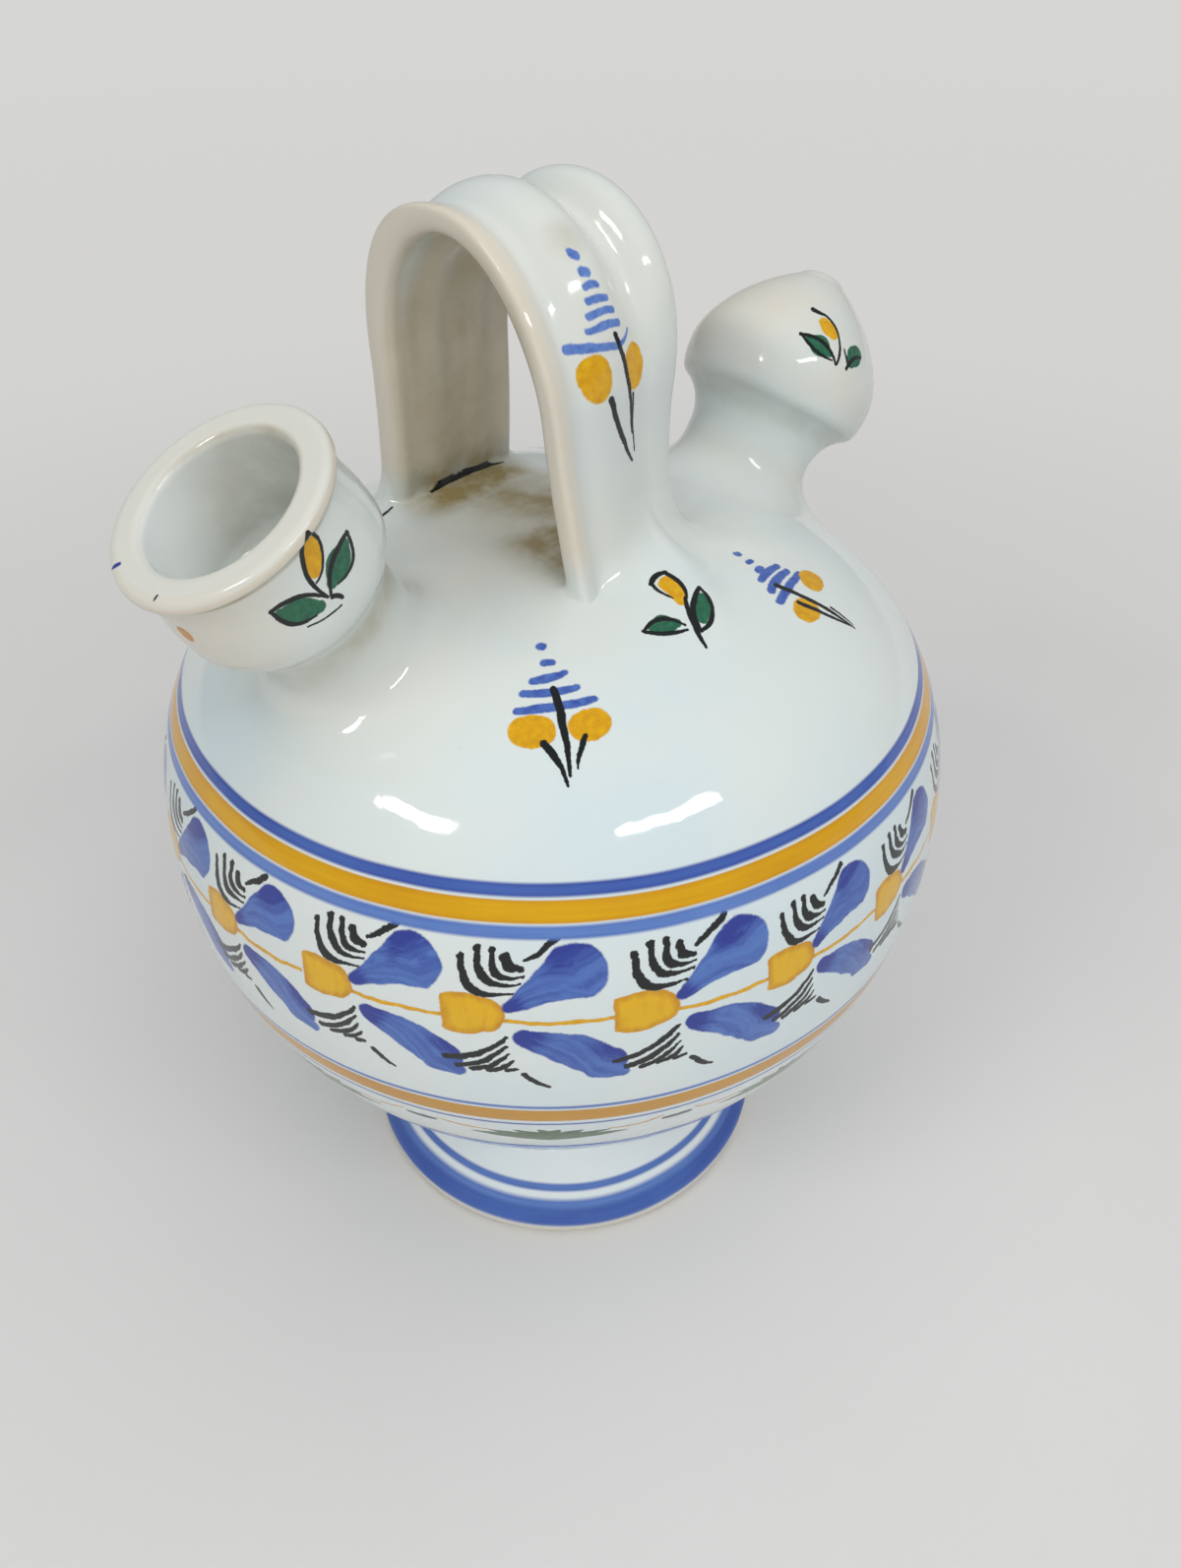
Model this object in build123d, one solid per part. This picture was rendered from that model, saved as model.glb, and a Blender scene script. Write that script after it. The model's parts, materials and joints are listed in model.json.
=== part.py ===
# A botijo: a round earthenware water jug on a turned foot, with a cup-shaped filling
# mouth, a bulbous drinking spout opposite it and a ribbed strap handle over the crown.
# Each piece is thrown or pulled by itself and luted to its neighbour with slip, so the
# pieces here meet face to face along those joints.
# Millimetres, +Z up, origin at the centre of the foot's base, +X towards the spout.

import os
from math import cos, radians, sin

from build123d import *

# Body: two thrown halves, a bowl and a crown, joined at the widest line
belly_radius = 99.0
belly_height = 131.0
crown_height = 205.0
wall = 6.0
floor_thickness = 7.0

# Foot: a flared ring, open underneath
waist_radius = 43.5
waist_height = 34.0
foot_wall = 7.5
foot_bearing_radius = 58.5
foot_rim_radius = 61.4
foot_rim_height = 4.8
foot_shoulder_radius = 59.2
foot_shoulder_height = 8.0
foot_recess_radius = 51.0
foot_recess_depth = 4.0

# Filling mouth: a cup on a short neck, leaning away from the spout
mouth_reach = 56.9
mouth_tilt = 29.0
mouth_length = 46.0
lip_radius = 23.1
lip_round = 2.0
collar_radius = 21.5
collar_drop = 7.5
cup_radius = 22.4
cup_drop = 18.5
mouth_bore_radius = 16.2
mouth_bore_drop = 21.0
mouth_throat_radius = 10.0
mouth_throat_drop = 30.0
mouth_neck_radius = 16.4
mouth_neck_drop = 33.0
mouth_flare = 8.0

# Drinking spout: a hollow bulb on a waisted neck, with a pin hole in its nose
spout_reach = 67.2
spout_tilt = 35.2
spout_length = 54.5
spout_flare = 10.0
spout_neck_radius = 16.8
spout_neck_height = 10.5
spout_sill_radius = 23.6
spout_sill_height = 21.5
bulb_radius = 25.2
bulb_height = 27.5
bulb_wall = 6.5
nose_radius = 6.4
nose_round = 1.6
spout_channel_radius = 9.5
nose_hole_radius = 2.2
nose_hole_length = 8.0

# Handle: a pulled strap with three ribs, arched across the mouth-to-spout line
strap_width = 36.0
strap_offset = -0.4
strap_rib_rise = 4.7
strap_rim_rise = 3.2
strap_groove_depth = 3.2
strap_inner_drop = 4.0
strap_edge_round = 3.0
arch_half_span = 26.9
arch_rise = 33.0
# How high above the crown the arch springs from its legs
arch_leg_rise = 33.0
arch_offset = 6.6
front_foot_splay = 7.0
back_foot_splay = 3.0
root_spread = 5.0
root_thickness = 16.0
root_height = 22.0

# How far a piece runs on into the crown before it is trimmed to the crown's surface
trim_depth = 9.0
# How far a cutting tool runs past what it cuts
overrun = 4.0

# Where the control points of each curve lie, as shares of the curve's own width and rise
bowl_start_shares = (0.300, 0.123)
bowl_end_share = 0.481
crown_start_share = 0.448
crown_end_share = 0.906
foot_flare_shares = ((0.72, 0.15), (0.17, 0.52))
bulb_taper_shares = ((1.02, 0.30), (0.62, 0.72))
s_curve_share = 0.5
# Across the strap, from its mouth-side edge: where each rib crests, and each groove lies
rib_crest_shares = (0.10, 0.43, 0.80)
groove_shares = (0.25, 0.63)
# How wide a rib's rounded back and a groove's hollow are, of the stretch between them
rib_round_share = 0.55


def s_curve(start, end):
    """A curve that leaves start and reaches end running along the second axis."""
    rise = (end[1] - start[1]) * s_curve_share
    return Bezier(start, (start[0], start[1] + rise), (end[0], end[1] - rise), end)


def corner(start, middle, end):
    """A rounded corner from start to end, tangent to both legs that meet at middle."""
    return Bezier(start, middle, end)


def turn(edges):
    """Revolve a closed outline of radius and height about the upright axis."""
    return revolve(Plane.XZ * make_face(Curve() + edges), axis=Axis.Z)


def root_flare(radius, flare, neck):
    """The flared foot of a fitting, laid on the crown where the two meet."""
    reach = radius + flare
    sag = reach**2 / (2 * belly_radius)
    slope = reach / belly_radius
    start = (reach, -sag)
    return [
        Line((reach, -trim_depth), start),
        corner(start, (radius, slope * flare - sag), neck),
    ]


def leaning(reach, tilt, side):
    """The plane of a fitting that stands on the crown, reach from the jug's axis."""
    axis = Vector(side * sin(radians(tilt)), 0, cos(radians(tilt)))
    return Plane(origin=(side * reach, 0, crown_level(reach)), x_dir=(0, side, 0), z_dir=axis)


def bowl_points(radius, floor_radius, floor_height):
    """Control points of the bowl's wall, from its floor to the widest line."""
    width = radius - floor_radius
    rise = belly_height - floor_height
    along, up = bowl_start_shares
    return (
        (floor_radius, floor_height),
        (floor_radius + along * width, floor_height + up * rise),
        (radius, belly_height - bowl_end_share * rise),
        (radius, belly_height),
    )


def crown_points(radius, top):
    """Control points of the crown's wall, from the widest line to the jug's axis."""
    return (
        (radius, belly_height),
        (radius, belly_height + crown_start_share * (top - belly_height)),
        (radius * crown_end_share, top),
        (0, top),
    )


def crown_level(reach):
    """Height of the crown's outer surface at a distance from the jug's axis."""
    curve = Bezier(*crown_points(belly_radius, crown_height))
    low, high = 0.0, 1.0
    for _ in range(40):
        middle = (low + high) / 2
        if (curve @ middle).X > reach:
            low = middle
        else:
            high = middle
    return (curve @ low).Y


def crown_block():
    """The crown as a full solid, which trims the fittings to its surface."""
    wall_curve = Bezier(*crown_points(belly_radius, crown_height))
    return turn([
        wall_curve,
        Line((0, crown_height), (0, belly_height)),
        Line((0, belly_height), (belly_radius, belly_height)),
    ])


def foot_ring():
    """The turned foot: a bearing ring, a rounded rim and a flare up to the waist."""
    width = foot_shoulder_radius - waist_radius
    rise = waist_height - foot_shoulder_height
    outer = [
        (waist_radius + across * width, foot_shoulder_height + up * rise)
        for across, up in foot_flare_shares
    ]
    inner_waist = waist_radius - foot_wall
    inner_width = foot_recess_radius - inner_waist
    inner_rise = waist_height - foot_recess_depth
    inner = [
        (inner_waist + across * inner_width, foot_recess_depth + up * inner_rise)
        for across, up in foot_flare_shares
    ]
    rim_top = foot_rim_height + (foot_shoulder_height - foot_rim_height) / 2
    return turn([
        Line((foot_recess_radius, 0), (foot_bearing_radius, 0)),
        corner((foot_bearing_radius, 0), (foot_rim_radius, 0), (foot_rim_radius, foot_rim_height)),
        corner(
            (foot_rim_radius, foot_rim_height),
            (foot_rim_radius, rim_top),
            (foot_shoulder_radius, foot_shoulder_height),
        ),
        Bezier((foot_shoulder_radius, foot_shoulder_height), *outer, (waist_radius, waist_height)),
        Line((waist_radius, waist_height), (inner_waist, waist_height)),
        Bezier((inner_waist, waist_height), *reversed(inner), (foot_recess_radius, foot_recess_depth)),
        Line((foot_recess_radius, foot_recess_depth), (foot_recess_radius, 0)),
    ])


def belly_bowl():
    """The lower half of the body, standing on the foot."""
    floor_top = waist_height + floor_thickness
    inner = bowl_points(belly_radius - wall, waist_radius, floor_top)
    return turn([
        Line((0, waist_height), (waist_radius, waist_height)),
        Bezier(*bowl_points(belly_radius, waist_radius, waist_height)),
        Line((belly_radius, belly_height), (belly_radius - wall, belly_height)),
        Bezier(*reversed(inner)),
        Line((waist_radius, floor_top), (0, floor_top)),
        Line((0, floor_top), (0, waist_height)),
    ])


def shoulder_crown():
    """The closed upper half of the body, pierced under the mouth and the spout."""
    inner_top = crown_height - wall
    shell = turn([
        Bezier(*crown_points(belly_radius, crown_height)),
        Line((0, crown_height), (0, inner_top)),
        Bezier(*reversed(crown_points(belly_radius - wall, inner_top))),
        Line((belly_radius - wall, belly_height), (belly_radius, belly_height)),
    ])
    hole_depth = 2 * trim_depth + 2 * overrun
    return shell - piercing(mouth_plane, mouth_throat_radius, hole_depth) - piercing(
        spout_plane, spout_channel_radius, hole_depth
    )


def piercing(plane, radius, depth):
    """A round tool across the crown's wall, square to a fitting's axis."""
    return plane * Cylinder(radius, depth)


def filling_mouth():
    """The cup: a flared root, a neck, a rounded cup, a collar and a thick lip."""
    top = mouth_length
    lip_low = top - lip_round
    root_radius = mouth_neck_radius + mouth_flare
    neck = (mouth_neck_radius, top - mouth_neck_drop)
    cup = (cup_radius, top - cup_drop)
    collar = (collar_radius, top - collar_drop)
    throat = (mouth_throat_radius, top - mouth_throat_drop)
    cup_floor = (mouth_bore_radius, top - mouth_bore_drop)
    body = turn([
        Line((mouth_throat_radius, -trim_depth), (root_radius, -trim_depth)),
        *root_flare(mouth_neck_radius, mouth_flare, neck),
        s_curve(neck, cup),
        s_curve(cup, collar),
        s_curve(collar, (lip_radius, lip_low)),
        corner((lip_radius, lip_low), (lip_radius, top), (lip_radius - lip_round, top)),
        Line((lip_radius - lip_round, top), (mouth_bore_radius + lip_round, top)),
        corner((mouth_bore_radius + lip_round, top), (mouth_bore_radius, top), (mouth_bore_radius, lip_low)),
        Line((mouth_bore_radius, lip_low), cup_floor),
        s_curve(cup_floor, throat),
        Line(throat, (mouth_throat_radius, -trim_depth)),
    ])
    return mouth_plane * body - crown_block()


def drinking_spout():
    """The spout: a flared root, a waist, a hollow bulb and a blunt pierced nose."""
    nose_low = spout_length - nose_round
    root_radius = spout_neck_radius + spout_flare
    neck = (spout_neck_radius, spout_neck_height)
    sill = (spout_sill_radius, spout_sill_height)
    bulb = (bulb_radius, bulb_height)
    taper = nose_low - bulb_height
    outer = [
        (nose_radius + across * (bulb_radius - nose_radius), bulb_height + up * taper)
        for across, up in bulb_taper_shares
    ]
    nose = (nose_radius, nose_low)
    nose_edge = (nose_radius - 2 * nose_round, spout_length)
    hole_low = spout_length - nose_hole_length
    chamber = (bulb_radius - bulb_wall, bulb_height)
    inner_taper = hole_low - bulb_height
    inner = [
        (nose_hole_radius + across * (chamber[0] - nose_hole_radius), bulb_height + up * inner_taper)
        for across, up in bulb_taper_shares
    ]
    channel_top = (spout_channel_radius, spout_neck_height + bulb_wall / 2)
    body = turn([
        Line((spout_channel_radius, -trim_depth), (root_radius, -trim_depth)),
        *root_flare(spout_neck_radius, spout_flare, neck),
        Bezier(neck, (spout_neck_radius, spout_sill_height - bulb_wall / 2), sill),
        corner(sill, (bulb_radius, spout_sill_height), bulb),
        Bezier(bulb, *outer, nose),
        corner(nose, (nose_radius - nose_round, spout_length), nose_edge),
        Line(nose_edge, (nose_hole_radius, spout_length)),
        Line((nose_hole_radius, spout_length), (nose_hole_radius, hole_low)),
        Bezier((nose_hole_radius, hole_low), *reversed(inner), chamber),
        s_curve(chamber, channel_top),
        Line(channel_top, (spout_channel_radius, -trim_depth)),
    ])
    return spout_plane * body - crown_block()


def rib_side(groove, crest):
    """One flank of a rib, from the bottom of a groove up to the rib's crest."""
    run = (crest[0] - groove[0]) * rib_round_share
    return Bezier(groove, (groove[0] + run, groove[1]), (crest[0] - run, crest[1]), crest)


def strap_section(plane):
    """Cross-section of the strap: ribs outside, a plain face with soft edges inside."""
    half = strap_width / 2
    inner = half - strap_edge_round
    groove_rise = strap_rib_rise - strap_groove_depth
    rises = [strap_rim_rise] + [strap_rib_rise] * (len(rib_crest_shares) - 1)
    crests = [(-half + share * strap_width, rise) for share, rise in zip(rib_crest_shares, rises)]
    grooves = [(-half + share * strap_width, groove_rise) for share in groove_shares]
    edges = [corner((-half, 0), (-half, strap_rim_rise), crests[0])]
    for i, groove in enumerate(grooves):
        edges += [rib_side(groove, crests[i]), rib_side(groove, crests[i + 1])]
    edges += [
        corner(crests[-1], (half, strap_rib_rise), (half, 0)),
        corner((half, 0), (half, -strap_inner_drop), (inner, -strap_inner_drop)),
        Line((inner, -strap_inner_drop), (-inner, -strap_inner_drop)),
        corner((-inner, -strap_inner_drop), (-half, -strap_inner_drop), (-half, 0)),
    ]
    return plane * mirror(make_face(Curve() + edges), about=Plane.YZ)


def strap_path():
    """Centre line of the strap, from the front foot over the arch to the back foot."""
    spring_height = crown_height + arch_leg_rise
    front_spring = (arch_offset - arch_half_span, spring_height)
    back_spring = (arch_offset + arch_half_span, spring_height)
    front_y = front_spring[0] - front_foot_splay
    back_y = back_spring[0] + back_foot_splay
    front_foot = (front_y, crown_level(abs(front_y)) - trim_depth)
    back_foot = (back_y, crown_level(abs(back_y)) - trim_depth)
    front_leg = Bezier(front_foot, (front_spring[0], (front_foot[1] + spring_height) / 2), front_spring)
    arch = EllipticalCenterArc(
        (arch_offset, spring_height), arch_half_span, arch_rise, start_angle=180, arc_size=-180
    )
    back_leg = Bezier(back_spring, (back_spring[0], (back_foot[1] + spring_height) / 2), back_foot)
    return Plane.YZ.offset(strap_offset) * Wire([front_leg, arch, back_leg])


def strap_root(foot, leg):
    """The clay pressed out round a foot of the strap, widest at the crown."""
    wide = Pos(foot) * Ellipse(strap_width / 2 + root_spread, root_thickness / 2)
    narrow = Pos(leg) * Ellipse(strap_width / 2 - root_spread, strap_inner_drop / 2)
    return loft([wide, narrow])


def strap_handle():
    """The pulled strap with its two luted roots."""
    path = strap_path()
    start = path @ 0
    along = path % 0
    section = strap_section(Plane(origin=start, x_dir=(-1, 0, 0), z_dir=along))
    strap = sweep(section, path=path)
    climb = (trim_depth + root_height) / path.length
    roots = strap_root(path @ 0, path @ climb) + strap_root(path @ 1, path @ (1 - climb))
    return strap + roots - crown_block()


mouth_plane = leaning(mouth_reach, mouth_tilt, -1)
spout_plane = leaning(spout_reach, spout_tilt, 1)

os.makedirs("parts", exist_ok=True)
pieces = {
    "foot_ring": foot_ring(),
    "belly_bowl": belly_bowl(),
    "shoulder_crown": shoulder_crown(),
    "filling_mouth": filling_mouth(),
    "drinking_spout": drinking_spout(),
    "strap_handle": strap_handle(),
}
for name, shape in pieces.items():
    export_step(shape, f"parts/{name}.step")
    print(name, "volume", round(shape.volume / 1000, 1), "cm3")
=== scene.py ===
# %% [markdown]
# A painted botijo
#
# A botijo is a Spanish water jug: a thrown round body on a turned foot, a cup to fill it by,
# a hollow spout to drink from and a pulled strap handle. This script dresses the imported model
# of the jug. It starts by loading that model as a fixed frame, so that every piece made below
# has a place to go, in metres, with the foot's base at the origin and the spout towards +X.

# %% Load the frame
import json
from math import atan2, cos, pi, radians, sin

import bpy
import numpy as np
from mathutils import Matrix, Vector

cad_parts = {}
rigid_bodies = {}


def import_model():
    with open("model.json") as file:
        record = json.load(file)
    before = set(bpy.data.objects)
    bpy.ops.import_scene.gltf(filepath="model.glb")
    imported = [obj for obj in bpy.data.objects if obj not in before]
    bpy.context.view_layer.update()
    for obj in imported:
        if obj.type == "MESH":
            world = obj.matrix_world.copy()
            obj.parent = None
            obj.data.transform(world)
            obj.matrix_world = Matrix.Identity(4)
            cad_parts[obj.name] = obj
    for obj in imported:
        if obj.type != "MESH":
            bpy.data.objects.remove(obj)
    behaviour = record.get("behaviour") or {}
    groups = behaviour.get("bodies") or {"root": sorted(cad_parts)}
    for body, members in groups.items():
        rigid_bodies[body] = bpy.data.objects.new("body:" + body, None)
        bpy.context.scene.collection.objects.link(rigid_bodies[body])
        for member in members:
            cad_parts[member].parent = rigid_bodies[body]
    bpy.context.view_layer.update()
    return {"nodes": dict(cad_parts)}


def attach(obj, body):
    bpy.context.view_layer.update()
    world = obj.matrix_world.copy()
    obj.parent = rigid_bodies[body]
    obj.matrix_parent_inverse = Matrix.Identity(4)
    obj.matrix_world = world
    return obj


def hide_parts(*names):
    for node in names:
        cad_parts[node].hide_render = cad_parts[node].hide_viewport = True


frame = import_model()
MM = 0.001
print("nodes:", sorted(frame["nodes"]))

# %% [markdown]
# The camera
#
# The photograph looks down on the jug from arm's length, so its lines converge strongly and
# the foot looks far smaller than the belly. A camera is matched by its place, its direction,
# its roll and its lens. They were solved once from the painted rings and the round rims.

# %% Camera
photo_width, photo_height = 1200, 1593
focal_pixels = 1200
sensor_width = 36.0
camera_place = (-167.1, -183.0, 331.0)
camera_heading = radians(45.46)
camera_dip = radians(39.71)
camera_roll = radians(-0.40)

forward = Vector((
    cos(camera_heading) * cos(camera_dip), sin(camera_heading) * cos(camera_dip), -sin(camera_dip)
))
level = Vector((sin(camera_heading), -cos(camera_heading), 0))
upright = level.cross(forward)
across = level * cos(camera_roll) + upright * sin(camera_roll)
upward = upright * cos(camera_roll) - level * sin(camera_roll)
camera = bpy.data.objects.new("camera", bpy.data.cameras.new("camera"))
camera.data.sensor_width = sensor_width
camera.data.lens = focal_pixels / max(photo_width, photo_height) * sensor_width
camera.data.clip_start = 0.01
camera.matrix_world = Matrix((across, upward, -forward)).transposed().to_4x4()
camera.location = Vector(camera_place) * MM
bpy.context.scene.collection.objects.link(camera)
bpy.context.scene.camera = camera
print("camera at", tuple(round(x, 3) for x in camera.location), "lens", round(camera.data.lens, 2))

# %% [markdown]
# Shader nodes by name
#
# Every finish here is built from nodes. Typing each node and link by hand hides what a
# material does, so two small helpers add a node, link or set its inputs and hand back the
# output. Sockets and plain numbers can then be mixed as in a formula.


# %% Node helpers
def put(tree, kind, *inputs, out=0, **settings):
    """Add a node, set it up, link or fill its inputs in order, and return one output."""
    node = tree.nodes.new(kind)
    for name, value in settings.items():
        setattr(node, name, value)
    for socket, value in zip(node.inputs, inputs):
        feed(tree, value, socket)
    return node.outputs[out]


def feed(tree, value, socket):
    """Link a socket to another, or set its own value; None leaves it alone."""
    if isinstance(value, bpy.types.NodeSocket):
        tree.links.new(value, socket)
    elif value is not None:
        socket.default_value = value


def calc(tree, operation, *values, clamp=False):
    return put(tree, "ShaderNodeMath", *values, operation=operation, use_clamp=clamp)


def vector_calc(tree, operation, *values, out=0):
    return put(tree, "ShaderNodeVectorMath", *values, operation=operation, out=out)


def parts_of(tree, vector):
    """The X, Y and Z of a vector."""
    node = tree.nodes.new("ShaderNodeSeparateXYZ")
    feed(tree, vector, node.inputs[0])
    return node.outputs


def vector_of(tree, *values):
    return put(tree, "ShaderNodeCombineXYZ", *values)


def ramp(tree, value, low, high, start=0.0, end=1.0, smooth=True):
    """Carry a value from the stretch low..high over to start..end."""
    kind = "SMOOTHSTEP" if smooth else "LINEAR"
    return put(tree, "ShaderNodeMapRange", value, low, high, start, end, interpolation_type=kind)


def blend(tree, factor, first, second):
    """Mix two colours."""
    node = tree.nodes.new("ShaderNodeMix")
    node.data_type = "RGBA"
    feed(tree, factor, node.inputs["Factor"])
    colours = [s for s in node.inputs if s.type == "RGBA"]
    feed(tree, first, colours[0])
    feed(tree, second, colours[1])
    return [s for s in node.outputs if s.type == "RGBA"][0]


def noise(tree, position, scale, detail=2.0, roughness=0.5, out=0):
    """Soft noise of a given scale; out 1 gives three unlike values as a colour."""
    node = tree.nodes.new("ShaderNodeTexNoise")
    feed(tree, position, node.inputs["Vector"])
    node.inputs["Scale"].default_value = scale
    node.inputs["Detail"].default_value = detail
    node.inputs["Roughness"].default_value = roughness
    return node.outputs[out]


def group(name, inputs, outputs):
    """An empty shader node group with named sockets."""
    tree = bpy.data.node_groups.new(name, "ShaderNodeTree")
    for label, kind, value in inputs:
        socket = tree.interface.new_socket(label, in_out="INPUT", socket_type=f"NodeSocket{kind}")
        socket.default_value = value
    for label, kind in outputs:
        tree.interface.new_socket(label, in_out="OUTPUT", socket_type=f"NodeSocket{kind}")
    return tree, tree.nodes.new("NodeGroupInput").outputs, tree.nodes.new("NodeGroupOutput").inputs


def use(tree, made, **values):
    """Place a group in a tree and return its outputs by name."""
    node = tree.nodes.new("ShaderNodeGroup")
    node.node_tree = made
    for label, value in values.items():
        feed(tree, value, node.inputs[label.replace("_", " ")])
    return node.outputs


print("node helpers are ready")

# %% [markdown]
# The jug's sizes
#
# The numbers are the ones the solids were built from, in millimetres. They are said once
# more here because the outlines below are drawn from them, and each new skin has to lie on
# the solid that it stands for.

# %% Driving sizes
belly_radius = 99.0
belly_height = 131.0
crown_height = 205.0
wall = 6.0
floor_thickness = 7.0
waist_radius = 43.5
waist_height = 34.0
foot_wall = 7.5
foot_bearing_radius = 58.5
foot_rim_radius = 61.4
foot_rim_height = 4.8
foot_shoulder_radius = 59.2
foot_shoulder_height = 8.0
foot_recess_radius = 51.0
foot_recess_depth = 4.0
mouth_reach = 56.9
mouth_tilt = 29.0
mouth_length = 46.0
lip_radius = 23.1
lip_round = 2.0
lip_tuck = 3.8
collar_radius = 21.5
cup_radius = 22.4
cup_drop = 18.5
mouth_bore_radius = 16.2
mouth_bore_drop = 21.0
mouth_throat_radius = 10.0
mouth_throat_drop = 30.0
mouth_neck_radius = 16.4
mouth_neck_drop = 33.0
spout_reach = 67.2
spout_tilt = 35.2
spout_length = 54.5
spout_neck_radius = 16.8
spout_neck_height = 10.5
spout_sill_radius = 23.6
spout_sill_height = 21.5
bulb_radius = 25.2
bulb_height = 27.5
bulb_wall = 6.5
nose_radius = 6.4
nose_round = 1.6
spout_channel_radius = 9.5
nose_hole_radius = 2.2
nose_hole_length = 8.0
strap_width = 36.0
strap_offset = -0.4
strap_rib_rise = 4.7
strap_inner_drop = 4.0
strap_edge_round = 3.0
arch_half_span = 26.9
arch_rise = 33.0
arch_leg_rise = 33.0
arch_offset = 6.6
front_foot_splay = 7.0
back_foot_splay = 3.0
trim_depth = 9.0
print("sizes named, belly", 2 * belly_radius, "mm across")

# %% [markdown]
# Curves and skins
#
# Thrown clay has no straight runs and no sharp corners, so each outline is a chain of Bezier
# curves with few points. A skin is a stack of closed rings of points joined by quads: it
# gives full control of where the points lie, which a primitive or a remesh doesn't.


# %% Curve helpers
def bezier(points, count):
    """Points along the Bezier curve of any number of control points."""
    share = np.linspace(0, 1, count)[:, None]
    row = [np.array(p, float) for p in points]
    while len(row) > 1:
        row = [a * (1 - share) + b * share for a, b in zip(row, row[1:])]
    return row[0]


def s_curve(start, end, count):
    """A curve that leaves start and reaches end running along the second axis."""
    rise = (end[1] - start[1]) / 2
    return bezier([start, (start[0], start[1] + rise), (end[0], end[1] - rise), end], count)


def chain(*runs):
    """Join runs of points, each starting where the last one ended."""
    return np.vstack([runs[0], *[run[1:] for run in runs[1:]]])


def smooth_step(value, low, high):
    """Rise from 0 to 1 between low and high, softly at both ends."""
    share = np.clip((value - low) / (high - low), 0, 1)
    return share * share * (3 - 2 * share)


print("an s-curve from 0, 0 to 10, 20 passes", s_curve((0, 0), (10, 20), 3)[1].tolist())


# %% Skin helper
def skin(name, rings, hollow=True):
    """A mesh from a stack of closed rings; hollow joins the last ring to the first."""
    rings = np.array(rings, float)
    rows, columns = rings.shape[:2]
    points = rings.reshape(-1, 3)
    index = np.arange(rows * columns).reshape(rows, columns)
    lower = index if hollow else index[:-1]
    upper = np.roll(index, -1, axis=0) if hollow else index[1:]
    faces = np.stack(
        [lower, np.roll(lower, -1, axis=1), np.roll(upper, -1, axis=1), upper], axis=-1
    ).reshape(-1, 4).tolist()
    if not hollow:
        ends = [points[index[0]].mean(0), points[index[-1]].mean(0)]
        points = np.vstack([points, ends])
        first, last = rows * columns, rows * columns + 1
        for j in range(columns):
            k = (j + 1) % columns
            faces.append((int(index[0, k]), int(index[0, j]), first))
            faces.append((int(index[-1, j]), int(index[-1, k]), last))
    mesh = bpy.data.meshes.new(name)
    mesh.from_pydata((points * MM).tolist(), [], faces)
    mesh.validate()
    if volume_of(mesh) < 0:
        mesh.flip_normals()
    mesh.polygons.foreach_set("use_smooth", [True] * len(mesh.polygons))
    piece = bpy.data.objects.new(name, mesh)
    bpy.context.scene.collection.objects.link(piece)
    return piece


def volume_of(mesh):
    """Signed volume inside a closed mesh; negative when its faces look inwards."""
    mesh.calc_loop_triangles()
    corners = np.array([t.vertices for t in mesh.loop_triangles])
    points = np.zeros(len(mesh.vertices) * 3)
    mesh.vertices.foreach_get("co", points)
    a, b, c = (points.reshape(-1, 3)[corners[:, i]] for i in range(3))
    return float(np.einsum("ij,ij->i", a, np.cross(b, c)).sum() / 6)


slump_share = 0.003
slump_heading = radians(70)


def settle(points):
    """The kiln's small slump: the jug is a hair narrower across one diameter than the other."""
    points = np.array(points, float)
    turn = np.arctan2(points[..., 1], points[..., 0])
    squeeze = slump_share * (0.5 + 0.5 * np.cos(2 * (turn - slump_heading)))
    points[..., :2] *= (1 - squeeze)[..., None]
    return points


print("skin helper is ready; the kiln's slump is", slump_share * 2 * belly_radius, "mm across")

# %% [markdown]
# The body: belly bowl and shoulder crown
#
# The body is thrown in two halves that are joined at the widest line. Each half is an
# outline turned about the jug's axis, inside and outside, which gives real wall thickness
# in the mouth's throat. Smooth shading would round the rims where the halves meet and show a
# line there, so a ring of points sits tight against each rim and holds the shading.
# The crown carries a soft ridge of clay that was dragged down from the handle's front root,
# and a low mound under its back root, so its height is a function that the fittings can ask.


# %% Body outlines
bowl_flare_out, bowl_flare_up = 0.300, 0.123
bowl_cheek = 0.481
crown_cheek = 0.448
crown_breadth = 0.906


def bowl_points(radius, floor_radius, floor_height):
    """Control points of the bowl's wall, from its floor up to the widest line."""
    width = radius - floor_radius
    rise = belly_height - floor_height
    return [
        (floor_radius, floor_height),
        (floor_radius + bowl_flare_out * width, floor_height + bowl_flare_up * rise),
        (radius, belly_height - bowl_cheek * rise),
        (radius, belly_height),
    ]


def crown_points(radius, top):
    """Control points of the crown's wall, from the widest line up to its middle."""
    return [
        (radius, belly_height),
        (radius, belly_height + crown_cheek * (top - belly_height)),
        (radius * crown_breadth, top),
        (0, top),
    ]


def turned(outline, columns):
    """Rings of an outline of radius and height, turned about the jug's axis."""
    turn = np.arange(columns) * 2 * pi / columns
    radius, height = outline[:, 0, None], outline[:, 1, None]
    return np.stack([radius * np.cos(turn), radius * np.sin(turn), height + 0 * turn], axis=-1)


crown_outline = bezier(crown_points(belly_radius, crown_height), 2000)
print("the crown's outline has", len(crown_outline), "points")

# %% Crown surface
ridge_start = (9.0, -31.0)
ridge_end = (-6.0, -64.0)
ridge_width = 7.5
ridge_rise = 2.4
mound_place = (2.0, 37.0)
mound_half = (24.0, 11.0)
mound_rise = 2.6


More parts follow.
